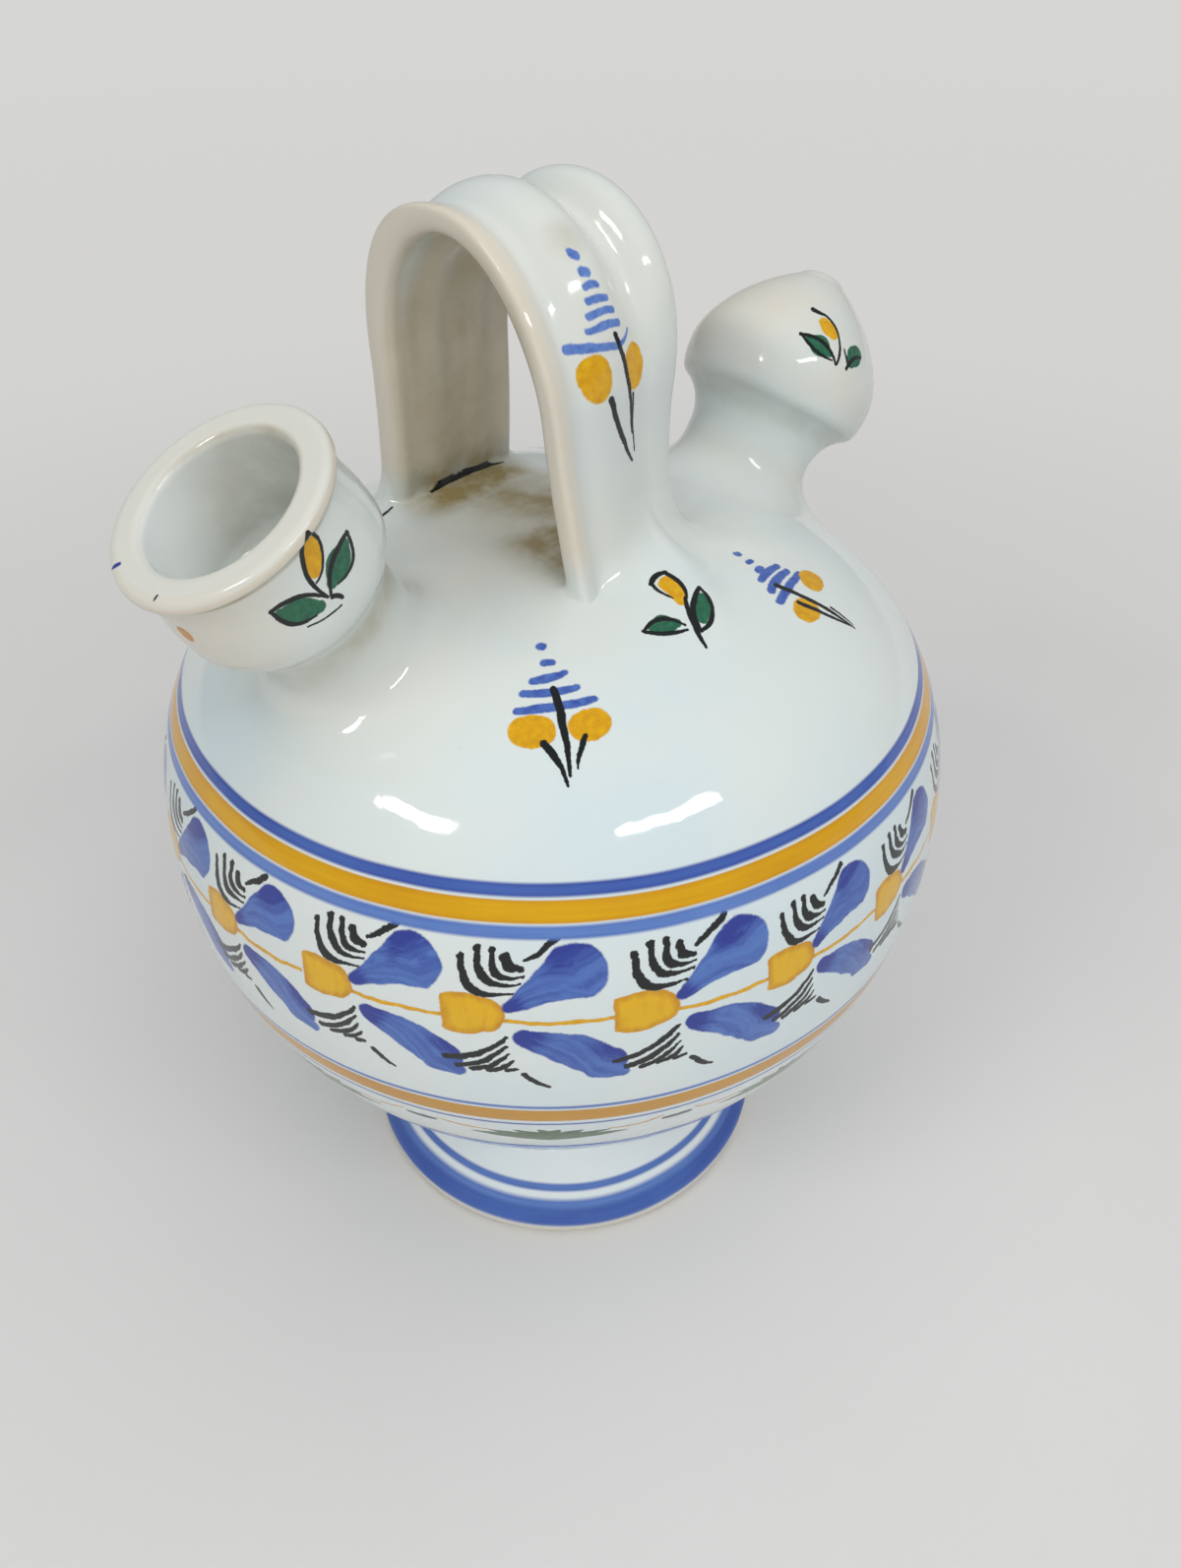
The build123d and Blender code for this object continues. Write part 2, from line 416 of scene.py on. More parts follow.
def dome_height(x, y):
    """Height of the crown's surface above the point x, y, ridge and mound and all."""
    radius = np.hypot(x, y)
    height = np.interp(-radius, -crown_outline[:, 0], crown_outline[:, 1])
    off = np.hypot((x - mound_place[0]) / mound_half[0], (y - mound_place[1]) / mound_half[1])
    height = height + mound_rise * (1 - smooth_step(off, 0.35, 1.5))
    run = np.array(ridge_end) - np.array(ridge_start)
    length = np.hypot(*run)
    along = ((x - ridge_start[0]) * run[0] + (y - ridge_start[1]) * run[1]) / length
    aside = ((x - ridge_start[0]) * run[1] - (y - ridge_start[1]) * run[0]) / length
    fade = smooth_step(along, -14, 2) * (1 - smooth_step(along, 2, length))
    side = np.where(aside < 0, ridge_width * 0.7, ridge_width * 1.5)
    return height + ridge_rise * fade * np.exp(-((aside / side) ** 2))


def crown_at(x, y=0.0):
    """The height of the crown's surface above one point, as a plain number."""
    return float(dome_height(np.array(x, float), np.array(y, float)))


def dome_normal(points):
    """Unit normals of the crown's surface above points."""
    step = 0.05
    x, y = points[..., 0], points[..., 1]
    slope_x = (dome_height(x + step, y) - dome_height(x - step, y)) / (2 * step)
    slope_y = (dome_height(x, y + step) - dome_height(x, y - step)) / (2 * step)
    normal = np.stack([-slope_x, -slope_y, np.ones_like(x)], axis=-1)
    return normal / np.linalg.norm(normal, axis=-1, keepdims=True)


def onto_dome(points, sink=0.0):
    """Points dropped upright onto the crown's surface, or sunk below it."""
    points = np.array(points, float)
    points[..., 2] = dome_height(points[..., 0], points[..., 1])
    return points - sink * dome_normal(points)


print("the crown is", round(crown_at(0.0), 1), "mm high, its mound", round(crown_at(*mound_place), 1))

# %% Body skins
body_columns = 240
near_axis = 0.4
tight = 0.04
bowl_outer = bezier(bowl_points(belly_radius, waist_radius, waist_height), 90)
floor_top = waist_height + floor_thickness
bowl_inner = bezier(bowl_points(belly_radius - wall, waist_radius, floor_top), 24)
bowl_outline = np.vstack([
    [(near_axis, waist_height)],
    bowl_outer[:-1],
    [(belly_radius, belly_height - tight), (belly_radius, belly_height)],
    bowl_inner[::-1],
    [(near_axis, floor_top)],
])
belly = skin("glazed_belly", settle(turned(bowl_outline, body_columns)), hollow=False)

crown_outer = bezier(crown_points(belly_radius, crown_height), 110)[:-1]
crown_outer = np.insert(crown_outer, 1, (belly_radius, belly_height + tight), axis=0)
crown_inner = bezier(crown_points(belly_radius - wall, crown_height - wall), 24)[:-1]
crown_middle = [[(near_axis, crown_height)], [(near_axis, crown_height - wall)]]
crown_outline_closed = np.vstack([crown_middle[0], crown_outer[::-1], crown_inner, crown_middle[1]])
crown_rings = turned(crown_outline_closed, body_columns)
outer_count = len(crown_outer) + 1
dome = crown_rings[:outer_count]
steep = smooth_step(np.hypot(dome[..., 0], dome[..., 1]), 88, 94)
dome[..., 2] += (onto_dome(dome)[..., 2] - dome[..., 2]) * (1 - steep)
crown = skin("glazed_crown", settle(crown_rings), hollow=False)
print("body:", len(belly.data.vertices) + len(crown.data.vertices), "points")

# %% [markdown]
# The foot
#
# The foot is turned on the wheel as a flared ring: a flat bearing edge, a soft rounded rim,
# a flare up to the waist and a hollow inside. Its outline is closed, so the skin is hollow.



# %% Foot flare
def flare_bends(rim, waist):
    """The two middle control points of a flare that runs from a rim up to a waist."""
    width, rise = rim[0] - waist[0], waist[1] - rim[1]
    return [
        (waist[0] + 0.72 * width, rim[1] + 0.15 * rise),
        (waist[0] + 0.17 * width, rim[1] + 0.52 * rise),
    ]


shoulder_edge = (foot_shoulder_radius, foot_shoulder_height)
recess_edge = (foot_recess_radius, foot_recess_depth)
outer_waist = (waist_radius, waist_height)
inner_waist = waist_radius - foot_wall
ceiling_height = waist_height + 1.5
foot_flare = bezier([shoulder_edge, *flare_bends(shoulder_edge, outer_waist), outer_waist], 36)[:-3]
recess_bends = flare_bends(recess_edge, (inner_waist, waist_height))[::-1]
print("the flare narrows from", foot_shoulder_radius, "to", waist_radius, "mm")

# %% Foot
rim_top = (foot_rim_height + foot_shoulder_height) / 2
rim_edge = (foot_rim_radius, foot_rim_height)
on_belly = bowl_outer[np.argmax(bowl_outer[:, 0] > waist_radius + 4)]
foot_joint = bezier([foot_flare[-1], outer_waist, on_belly + (0.02, -0.02)], 9)
foot_outline = chain(
    np.linspace((foot_recess_radius, 0), (foot_bearing_radius, 0), 6),
    bezier([(foot_bearing_radius, 0), (foot_rim_radius, 0), rim_edge], 9),
    bezier([rim_edge, (foot_rim_radius, rim_top), shoulder_edge], 7),
    foot_flare,
    foot_joint,
    np.linspace(foot_joint[-1] + (0.3, 0.9), (inner_waist, ceiling_height), 4),
    bezier([(inner_waist, ceiling_height), *recess_bends, recess_edge], 20),
    np.linspace(recess_edge, (foot_recess_radius, 0), 4),
)[:-1]
foot = skin("glazed_foot", settle(turned(foot_outline, body_columns)))
print("foot:", len(foot.data.vertices), "points")

# %% [markdown]
# The filling mouth and the drinking spout
#
# Both are thrown by themselves and luted on with slip, and the thrower wipes the joint into
# a soft fillet. A Boolean union would leave a hard line there. Here each fitting is a skin of
# rings about its own leaning axis. Its wall stops a little above the crown, and a curve that
# is tangent to both runs from there out over the crown, so that the joint shades as one clay.


# %% Leaning axes
def leaning_line(reach, tilt, side):
    """Where a fitting's axis leaves the crown, and the way it leans: side 1 is the spout's."""
    axis = np.array([side * sin(radians(tilt)), 0, cos(radians(tilt))])
    return np.array([side * reach, 0, crown_at(reach)]), axis


def rays_about(axis, columns):
    """Arrows one unit long and square to an axis, one for each column of a ring."""
    turn = np.arange(columns) * 2 * pi / columns
    level_ray = np.cross(axis, (0, 1, 0))
    return np.cos(turn)[:, None] * level_ray + np.sin(turn)[:, None] * np.array([0, 1.0, 0])


mouth_line = leaning_line(mouth_reach, mouth_tilt, -1)
spout_line = leaning_line(spout_reach, spout_tilt, 1)
print("mouth stands at", mouth_line[0].round(1), "and spout at", spout_line[0].round(1))


# %% Fitting helper
seam_run, seam_sink = 0.6, 0.012
far_below = -30.0


def fitting(name, line, outer, inner, wall_low, climb, spread, columns=150):
    """A thrown fitting. outer and inner hold radius and height along its axis, lip to root."""
    origin, axis = line
    ray = rays_about(axis, columns)
    outer_heights, outer_radii = outer[::-1, 1], outer[::-1, 0]

    def place(radius, height):
        return origin + np.asarray(radius)[..., None] * ray + np.asarray(height)[..., None] * axis

    def wall_at(height):
        return place(np.interp(height, outer_heights, outer_radii), height)

    def meets_dome(at):
        """Height along the axis where a line of the wall meets the crown."""
        low, high = np.full(columns, far_below), np.full(columns, wall_low)
        for _ in range(30):
            middle = (low + high) / 2
            points = at(middle)
            above = points[:, 2] > dome_height(points[:, 0], points[:, 1])
            high = np.where(above, middle, high)
            low = np.where(above, low, middle)
        return (low + high) / 2

    foot_height = meets_dome(wall_at)
    contact = wall_at(foot_height)
    top_height = foot_height + climb
    top = wall_at(top_height)
    landing = onto_dome(place(np.interp(foot_height, outer_heights, outer_radii) + spread, foot_height))
    normal = dome_normal(landing)
    lean = contact - top
    reach_share = np.einsum("ij,ij->i", landing - top, normal) / np.einsum("ij,ij->i", lean, normal)
    corner = top + lean * reach_share[:, None]
    outward = landing - corner
    outward /= np.linalg.norm(outward, axis=1, keepdims=True)
    throat_radius = np.full(columns, inner[-1, 0])
    throat = meets_dome(lambda height: place(throat_radius, height))
    throat_end = onto_dome(place(throat_radius, throat), sink=1.5)

    rows = [row for row in inner[::-1] if row[1] > throat.max()]
    rows += [row for row in outer if row[1] > wall_low]
    rings = [throat_end]
    rings += [place(np.full(columns, radius), np.full(columns, height)) for radius, height in rows]
    rings += [wall_at(wall_low + (top_height - wall_low) * share) for share in np.linspace(0, 1, 12)]
    rings += list(bezier_rings(top, corner, landing, 18)[1:])
    rings.append(onto_dome(landing + seam_run * outward, sink=seam_sink))
    rings.append(onto_dome(landing + 1.4 * outward, sink=1.0))
    rings.append(onto_dome((landing + throat_end) / 2, sink=2.0))
    return skin(name, settle(rings))


def bezier_rings(start, corner, end, count):
    """Rings between two rings, bent towards the ring of corners."""
    share = np.linspace(0, 1, count)[:, None, None]
    return (1 - share) ** 2 * start + 2 * share * (1 - share) * corner + share**2 * end


print("fitting helper is ready; a fillet's edge lies", seam_sink, "mm below the crown's skin")

# %% Filling mouth
top = mouth_length
lip_low = top - lip_round
lip_middle = (lip_radius + mouth_bore_radius) / 2
lip_inner = mouth_bore_radius + lip_round
bore_low = top - mouth_bore_drop
throat_low = top - mouth_throat_drop
neck_low = top - mouth_neck_drop
mouth_outer = chain(
    np.linspace((lip_middle, top), (lip_radius - lip_round, top), 4),
    bezier([(lip_radius - lip_round, top), (lip_radius, top), (lip_radius, lip_low)], 10),
    s_curve((lip_radius, lip_low), (collar_radius, top - lip_tuck), 9),
    s_curve((collar_radius, top - lip_tuck), (cup_radius, top - cup_drop), 16),
    s_curve((cup_radius, top - cup_drop), (mouth_neck_radius, neck_low), 22),
    np.linspace((mouth_neck_radius, neck_low), (mouth_neck_radius, -trim_depth - 20), 4),
)
mouth_inner = chain(
    np.linspace((lip_middle, top), (lip_inner, top), 4),
    bezier([(lip_inner, top), (mouth_bore_radius, top), (mouth_bore_radius, lip_low)], 10),
    np.linspace((mouth_bore_radius, lip_low), (mouth_bore_radius, bore_low), 12),
    s_curve((mouth_bore_radius, bore_low), (mouth_throat_radius, throat_low), 14),
    np.linspace((mouth_throat_radius, throat_low), (mouth_throat_radius, 4), 5),
)
mouth = fitting(
    "glazed_mouth", mouth_line, mouth_outer[1:], mouth_inner,
    wall_low=neck_low + 1, climb=8.0, spread=9.0,
)
print("mouth:", len(mouth.data.vertices), "points")

# %% Drinking spout
tip = spout_length
nose_low = tip - nose_round
hole_low = tip - nose_hole_length
hole_round = 0.5
chamber_radius = bulb_radius - bulb_wall
chamber_low = spout_neck_height + bulb_wall / 2
nose_edge = (nose_radius - 2 * nose_round, tip)
sill_edge = (spout_sill_radius - 0.8, spout_sill_height - 1.85)
neck_top = (spout_neck_radius, spout_neck_height)
hole_edge = (nose_hole_radius + hole_round, tip)
hole_top = (nose_hole_radius, tip - hole_round)


def bulb_curve(low_radius, low_height, high_radius, count):
    """The bulb's round side, from the narrow nose down to where the bulb is widest."""
    width = high_radius - low_radius
    taper = low_height - bulb_height
    return bezier(
        [
            (low_radius, low_height),
            (low_radius + 0.62 * width, bulb_height + 0.72 * taper),
            (low_radius + 1.02 * width, bulb_height + 0.30 * taper),
            (high_radius, bulb_height),
        ],
        count,
    )


spout_outer = chain(
    bezier([nose_edge, (nose_radius - nose_round, tip), (nose_radius, nose_low)], 9),
    bulb_curve(nose_radius, nose_low, bulb_radius, 34),
    bezier([(bulb_radius, bulb_height), (bulb_radius, spout_sill_height - 0.6), sill_edge], 14),
    bezier([sill_edge, (spout_neck_radius + 0.9, sill_edge[1] - 2.7), neck_top], 18),
    np.linspace(neck_top, (spout_neck_radius, -trim_depth - 20), 4),
)
spout_inner = chain(
    np.array([nose_edge, hole_edge]),
    bezier([hole_edge, (nose_hole_radius, tip), hole_top], 4),
    np.linspace(hole_top, (nose_hole_radius, hole_low), 3),
    bulb_curve(nose_hole_radius, hole_low, chamber_radius, 12),
    s_curve((chamber_radius, bulb_height), (spout_channel_radius, chamber_low), 10),
    np.linspace((spout_channel_radius, chamber_low), (spout_channel_radius, 5), 3),
)
spout = fitting(
    "glazed_spout", spout_line, spout_outer[1:], spout_inner,
    wall_low=spout_sill_height - 3, climb=9.5, spread=13.0,
)
print("spout:", len(spout.data.vertices), "points")

# %% [markdown]
# Piercing the crown
#
# Under each fitting the crown is pierced, so that water can run. The two holes are cut from
# the crown's skin with a Boolean modifier, which is applied at once: the ragged faces that a
# Boolean leaves round a hole are hidden under the fittings.


# %% Pierce the crown
def pierce(piece, line, radius):
    """Cut a round hole through a piece along a fitting's axis."""
    origin, axis = line
    ray = rays_about(axis, 48)
    rings = [origin + radius * ray + height * axis for height in (-16.0, 12.0)]
    cutter = skin("hole_cutter", settle(rings), hollow=False)
    cut = piece.modifiers.new("hole", "BOOLEAN")
    cut.operation = "DIFFERENCE"
    cut.solver = "EXACT"
    cut.object = cutter
    bpy.context.view_layer.update()
    whole = piece.evaluated_get(bpy.context.evaluated_depsgraph_get())
    pierced = bpy.data.meshes.new_from_object(whole)
    piece.modifiers.clear()
    old = piece.data
    piece.data = pierced
    bpy.data.meshes.remove(old)
    bpy.data.objects.remove(cutter)


pierce(crown, mouth_line, mouth_throat_radius)
pierce(crown, spout_line, spout_channel_radius)
print("crown pierced:", len(crown.data.vertices), "points")

# %% [markdown]
# The strap handle
#
# The handle is a strap pulled from a lump of wet clay, with three ribs from the potter's
# fingers. It was bent into an arch and pressed onto the crown. A curve with a bevel would
# give one unchanging section, so the strap is a skin of rings instead: the ribs fade, the
# strap twists and both ends swell into the crown as the real one does. Each rise below is
# given for the strap's feet, where the fingers pressed it flat, and for the arch.

# %% Strap section
flute_depth = 0.5
flute_pitch = 12.0
near_rim_rise = (1.7, 1.5)
near_hollow_rise = (1.3, 0.4)
middle_rib_rise = (3.1, strap_rib_rise)
far_hollow_rise = (2.8, -0.7)
far_rib_rise = (3.7, 4.4)
back_rim_gain = 2.6
near_crest, middle_crest, far_crest = 0.045, 0.43, 0.88
near_hollow_share, far_hollow_share = 0.165, 0.70


def strap_section(rib_share, back_share):
    """The strap's outline: across from the mouth side, and out from the arch."""
    half = strap_width / 2
    flat = half - strap_edge_round
    pairs = (near_rim_rise, near_hollow_rise, middle_rib_rise, far_hollow_rise, far_rib_rise)
    rim, near_hollow, middle_rib, far_hollow, rib = [a + (b - a) * rib_share for a, b in pairs]
    rim += back_rim_gain * back_share
    near_hollow += back_rim_gain * back_share
    crests = [
        (-half + near_crest * strap_width, rim),
        (-half + middle_crest * strap_width, middle_rib),
        (-half + far_crest * strap_width, rib),
    ]
    hollows = [
        (-half + near_hollow_share * strap_width, near_hollow),
        (-half + far_hollow_share * strap_width, far_hollow),
    ]
    rows = [bezier([(-half, 0), (-half, rim), crests[0]], 8)]
    for crest, hollow, after in zip(crests, hollows, crests[1:]):
        rows.append(level_ended(crest, hollow, 0.6, 0.35))
        rows.append(level_ended(hollow, after, 0.3, 0.65))
    rows.append(bezier([crests[2], (half, rib), (half, 0)], 10))
    rows.append(bezier([(half, 0), (half, -strap_inner_drop), (flat, -strap_inner_drop)], 7))
    rows.append(np.linspace((flat, -strap_inner_drop), (-flat, -strap_inner_drop), 22))
    rows.append(bezier([(-flat, -strap_inner_drop), (-half, -strap_inner_drop), (-half, 0)], 7))
    section = chain(*rows)[:-1]
    inside = section[:, 1] < -strap_inner_drop + 0.01
    section[inside, 1] += flute_depth * np.cos(section[inside, 0] * 2 * pi / flute_pitch)
    return section


def level_ended(start, end, leaving, arriving):
    """A curve between a crest and a hollow that is level at both; the shares say how long."""
    run = end[0] - start[0]
    low = (start[0] + leaving * run, start[1])
    high = (end[0] - arriving * run, end[1])
    return bezier([start, low, high, end], 10)


print("the strap's section has", len(strap_section(1.0, 0.0)), "points")

# %% Strap path
arch_spring_height = crown_height + arch_leg_rise
front_spring = (arch_offset - arch_half_span, arch_spring_height)
back_spring = (arch_offset + arch_half_span, arch_spring_height)


def leg(spring, splay):
    """One leg of the arch, from below the crown up to where the arch springs."""
    foot_y = spring[0] + splay
    foot_z = crown_at(0.0, foot_y) - trim_depth
    return bezier([(foot_y, foot_z), (spring[0], (foot_z + spring[1]) / 2), spring], 60)


swing = np.linspace(pi, 0, 140)[:, None]
arch = np.hstack([
    arch_offset + arch_half_span * np.cos(swing),
    arch_spring_height + arch_rise * np.sin(swing),
])
line = chain(leg(front_spring, -front_foot_splay), arch, leg(back_spring, back_foot_splay)[::-1])
walked = np.concatenate([[0], np.cumsum(np.hypot(*np.diff(line, axis=0).T))])
steps = np.linspace(0, walked[-1], 260)
path = np.stack([np.interp(steps, walked, line[:, 0]), np.interp(steps, walked, line[:, 1])], axis=-1)
heading = np.gradient(path, axis=0)
heading /= np.linalg.norm(heading, axis=1, keepdims=True)
outside = np.stack([-heading[:, 1], heading[:, 0]], axis=-1)
print("the strap is", round(float(walked[-1])), "mm long, with its ends in the crown")

# %% Strap rings
front_twist = radians(-10.5)
twist_fades_between = (18, 62)
ribs_grow_between = (30, 74)
crest_skew = 0.17
columns_of_strap = []
for place, out, step in zip(path, outside, steps):
    front = 1 - smooth_step(step, *twist_fades_between)
    from_root = min(step, walked[-1] - step) - trim_depth
    rib_share = smooth_step(from_root, *ribs_grow_between)
    section = strap_section(rib_share, smooth_step(place[0], arch_offset, 30))
    twist = front_twist * front
    wide = section[:, 0] * cos(twist) - section[:, 1] * sin(twist)
    rise = section[:, 0] * sin(twist) + section[:, 1] * cos(twist)
    skew = crest_skew * smooth_step(place[1], arch_spring_height - 4, arch_spring_height + arch_rise)
    back = place[0] + rise * out[0] - skew * wide
    columns_of_strap.append(np.stack([wide + strap_offset, back, place[1] + rise * out[1]], axis=-1))
strap_rings = np.array(columns_of_strap)
print("the strap has", strap_rings.shape[0], "rings of", strap_rings.shape[1], "points")

# %% Strap roots
root_half_width, root_half_depth = 18.0, 5.5
flat_section = strap_section(0.3, 0.0)
root_out = flat_section / (root_half_width**2, root_half_depth**2)
root_out /= np.linalg.norm(root_out, axis=1, keepdims=True)
ring_gap = steps[1] - steps[0]


def root(rings, direction_y, spreads, climbs, near_share):
    """Where each line of the strap meets the crown, and the fillet that carries it out.

    The fillet on the outer face narrows to near_share of its spread towards the mouth side.
    """
    above = rings[..., 2] - dome_height(rings[..., 0], rings[..., 1])
    first = np.argmax(above > 0, axis=0)
    every = np.arange(rings.shape[1])
    share = -above[first - 1, every] / (above[first, every] - above[first - 1, every])
    contact = rings[first - 1, every] + (rings[first, every] - rings[first - 1, every]) * share[:, None]
    outer, inner, mouth_side, spout_side = spreads
    outer = outer * (near_share + (1 - near_share) * smooth_step(flat_section[:, 0], -17, 5))
    out_share = (root_out[:, 1] + 1) / 2
    spread = inner + (outer - inner) * smooth_step(out_share, 0.1, 0.9)
    side_spread = np.where(root_out[:, 0] < 0, mouth_side, spout_side)
    edge = smooth_step(np.abs(root_out[:, 0]), 0.35, 1.0)
    spread = spread * (1 - edge) + side_spread * edge
    climb = climbs[0] + (climbs[1] - climbs[0]) * smooth_step(out_share, 0.1, 0.9)
    travel = np.stack([root_out[:, 0], direction_y * root_out[:, 1], 0 * spread], axis=-1)
    landing = onto_dome(contact + spread[:, None] * travel)
    starts_at = first - 1 + share + climb / ring_gap
    start = np.array([column_at(rings, j, starts_at[j]) for j in every])
    normal = dome_normal(landing)
    lean = contact - start
    reach_share = np.einsum("ij,ij->i", landing - start, normal) / np.einsum("ij,ij->i", lean, normal)
    corner = start + lean * np.clip(reach_share, 0.6, 1.6)[:, None]
    return starts_at, start, corner, landing, travel


def column_at(rings, j, at):
    """A point on line j of the strap, at a ring number that needn't be whole."""
    low = int(at)
    return rings[low, j] + (rings[low + 1, j] - rings[low, j]) * (at - low)


front_from, front_top, front_corner, front_land, front_way = root(
    strap_rings, -1, spreads=(12.0, 3.0, 1.0, 14.0), climbs=(3.5, 12.0), near_share=0.16
)
back_from, back_top, back_corner, back_land, back_way = root(
    strap_rings[::-1], 1, spreads=(9.0, 1.2, 4.5, 6.0), climbs=(1.6, 10.0), near_share=1.0
)
back_until = len(steps) - 1 - back_from
print("the front fillet starts at ring", round(front_from.min()), "the back one at", round(back_until.max()))


# %% Strap skin
def strap_ring(share):
    """A ring between the two fillets, at a share of the way from the front one."""
    stops = front_from + (back_until - front_from) * share
    return np.array([column_at(strap_rings, j, stop) for j, stop in enumerate(stops)])


handle_rings = [
    onto_dome(front_land - 6 * front_way, sink=3.0),
    onto_dome(front_land + 1.2 * front_way, sink=1.2),
    onto_dome(front_land + seam_run * front_way, sink=seam_sink),
    *bezier_rings(front_top, front_corner, front_land, 20)[::-1][:-1],
    *[strap_ring(share) for share in np.linspace(0, 0.9999, 200)],
    *bezier_rings(back_top, back_corner, back_land, 20)[1:],
    onto_dome(back_land + seam_run * back_way, sink=seam_sink),
    onto_dome(back_land + 1.2 * back_way, sink=1.2),
    onto_dome(back_land - 6 * back_way, sink=3.0),
]
handle = skin("glazed_handle", settle(handle_rings), hollow=False)
print("handle:", len(handle.data.vertices), "points")

# %% [markdown]
# Floor and light
#
# A glossy white jug is lit mostly by what it mirrors. Wide soft lamps show its roundness,
# and a few narrow ones, like strip lights, leave the crisp highlights of wet-looking glaze.
# A paper sweep would be lit a little darker far off. Here the floor and the sky turn into one
# even pale tone away from the jug, but only for the camera, for glass and for reflections,
# so the tone puts no more light on the jug, and the floor near it keeps the shadow.

# %% Floor
backdrop = (0.63, 0.625, 0.61, 1)
fade_from, fade_until = 0.16, 0.75


def plain_floor():
    """A wide pale floor, thick enough to be a closed skin."""
    turn = np.arange(64) * 2 * pi / 64
    rings = [
        [(reach * cos(a), reach * sin(a), z) for a in turn]
        for reach, z in ((0.5, 0), (200, 0), (1500, 0), (6000, 0), (6000, -5), (200, -5), (0.5, -5))
    ]
    return skin("floor", rings, hollow=False)


floor = plain_floor()
print("the floor has", len(floor.data.vertices), "points")


# %% Floor paper
def seen_rays(tree, glossy_share):
    """Where the even backdrop shows: to the camera, through glass, and partly in gloss."""
    kinds = tree.nodes.new("ShaderNodeLightPath").outputs
    seen = calc(tree, "MAXIMUM", kinds["Is Camera Ray"], kinds["Is Transmission Ray"])
    return calc(tree, "MAXIMUM", seen, calc(tree, "MULTIPLY", kinds["Is Glossy Ray"], glossy_share))


def floor_paper():
    """Pale mottled paper that turns into the backdrop's tone far from the jug."""
    material = bpy.data.materials.new("floor_paper")
    material.use_nodes = True
    tree = material.node_tree
    shader = tree.nodes["Principled BSDF"]
    shader.inputs["Roughness"].default_value = 0.7
    place = put(tree, "ShaderNodeTexCoord", out=3)
    tone = noise(tree, place, 6.0, detail=4.0)
    colour = blend(tree, tone, (0.72, 0.71, 0.69, 1), (0.76, 0.755, 0.74, 1))
    far_off = ramp(tree, vector_calc(tree, "LENGTH", place, out=1), fade_from, fade_until)
    glow = calc(tree, "MULTIPLY", seen_rays(tree, 1.0), far_off)
    feed(tree, blend(tree, glow, colour, (0, 0, 0, 1)), shader.inputs["Base Color"])
    shader.inputs["Emission Color"].default_value = backdrop
    feed(tree, glow, shader.inputs["Emission Strength"])
    return material


floor.data.materials.append(floor_paper())
print("the floor fades between", fade_from, "and", fade_until, "m from the jug")


# %% Lamps
warm_light, cool_light = (1.0, 0.99, 0.97), (0.98, 0.99, 1.0)
jug_middle = (0, 0, 0.13)


def lamp(name, azimuth, elevation, distance, size, power, colour, mirrored=True):
    """A soft rectangular lamp that looks at the jug's middle; the glaze may mirror it."""
    data = bpy.data.lights.new(name, "AREA")
    data.shape = "RECTANGLE"
    data.size, data.size_y = size
    data.energy = power
    data.color = colour
    lamp_object = bpy.data.objects.new(name, data)
    a, e = radians(azimuth), radians(elevation)
    back = Vector((cos(a) * cos(e), sin(a) * cos(e), sin(e)))
    lamp_object.rotation_mode = "QUATERNION"
    lamp_object.rotation_quaternion = back.to_track_quat("Z", "Y")
    lamp_object.location = back * distance + Vector(jug_middle)
    lamp_object.visible_glossy = mirrored
    bpy.context.scene.collection.objects.link(lamp_object)


lamp("window_left", 180, 43, 1.6, (0.56, 0.13), 4.6, warm_light)
lamp("strip_right", -96, 44, 1.6, (0.76, 0.12), 4.0, warm_light)
lamp("ceiling", -60, 80, 1.9, (2.4, 2.4), 19.5, cool_light, mirrored=False)
lamp("front_fill", -130, 24, 2.2, (1.6, 1.2), 10.5, cool_light, mirrored=False)
print("lamps:", ", ".join(light.name for light in bpy.data.lights))

# %% World
room_light = (0.26, 0.268, 0.28, 1)
sky_in_gloss = 0.3
world = bpy.data.worlds.new("studio")
world.use_nodes = True
bpy.context.scene.world = world
sky = world.node_tree
sky_shader = sky.nodes["Background"]
sky_colour = blend(sky, seen_rays(sky, sky_in_gloss), room_light, backdrop)
feed(sky, sky_colour, sky_shader.inputs["Color"])
sky_shader.inputs["Strength"].default_value = 1.0
bpy.context.scene.view_settings.view_transform = "Standard"
print("the room gives", room_light[:3], "and the backdrop shows", backdrop[:3])

# %% [markdown]
# Place on the jug
#
# Paint, stains and thin glaze all need to know where on the jug a point lies. Each group below
# reads the same position in millimetres, so a band or a stain runs on from one piece of
# clay to the next without a break.


# %% Position in millimetres
def jug_position(tree):
    """Where the shaded point lies, in millimetres from the foot's centre."""
    place = put(tree, "ShaderNodeTexCoord", out=3)
    return vector_calc(tree, "MULTIPLY", place, (1 / MM, 1 / MM, 1 / MM))


print("one unit of the paint's own measure is", MM, "m")

# %% [markdown]
# One brush stroke
#
# Everything painted here is a row of strokes with a round brush: a start, an end, a bend and
# three widths. A stroke can be worked out at any point of the clay as a distance to its
# bent middle line less the brush's half width there. Its edge then stays sharp however near
# the camera comes, which no painted image could give.


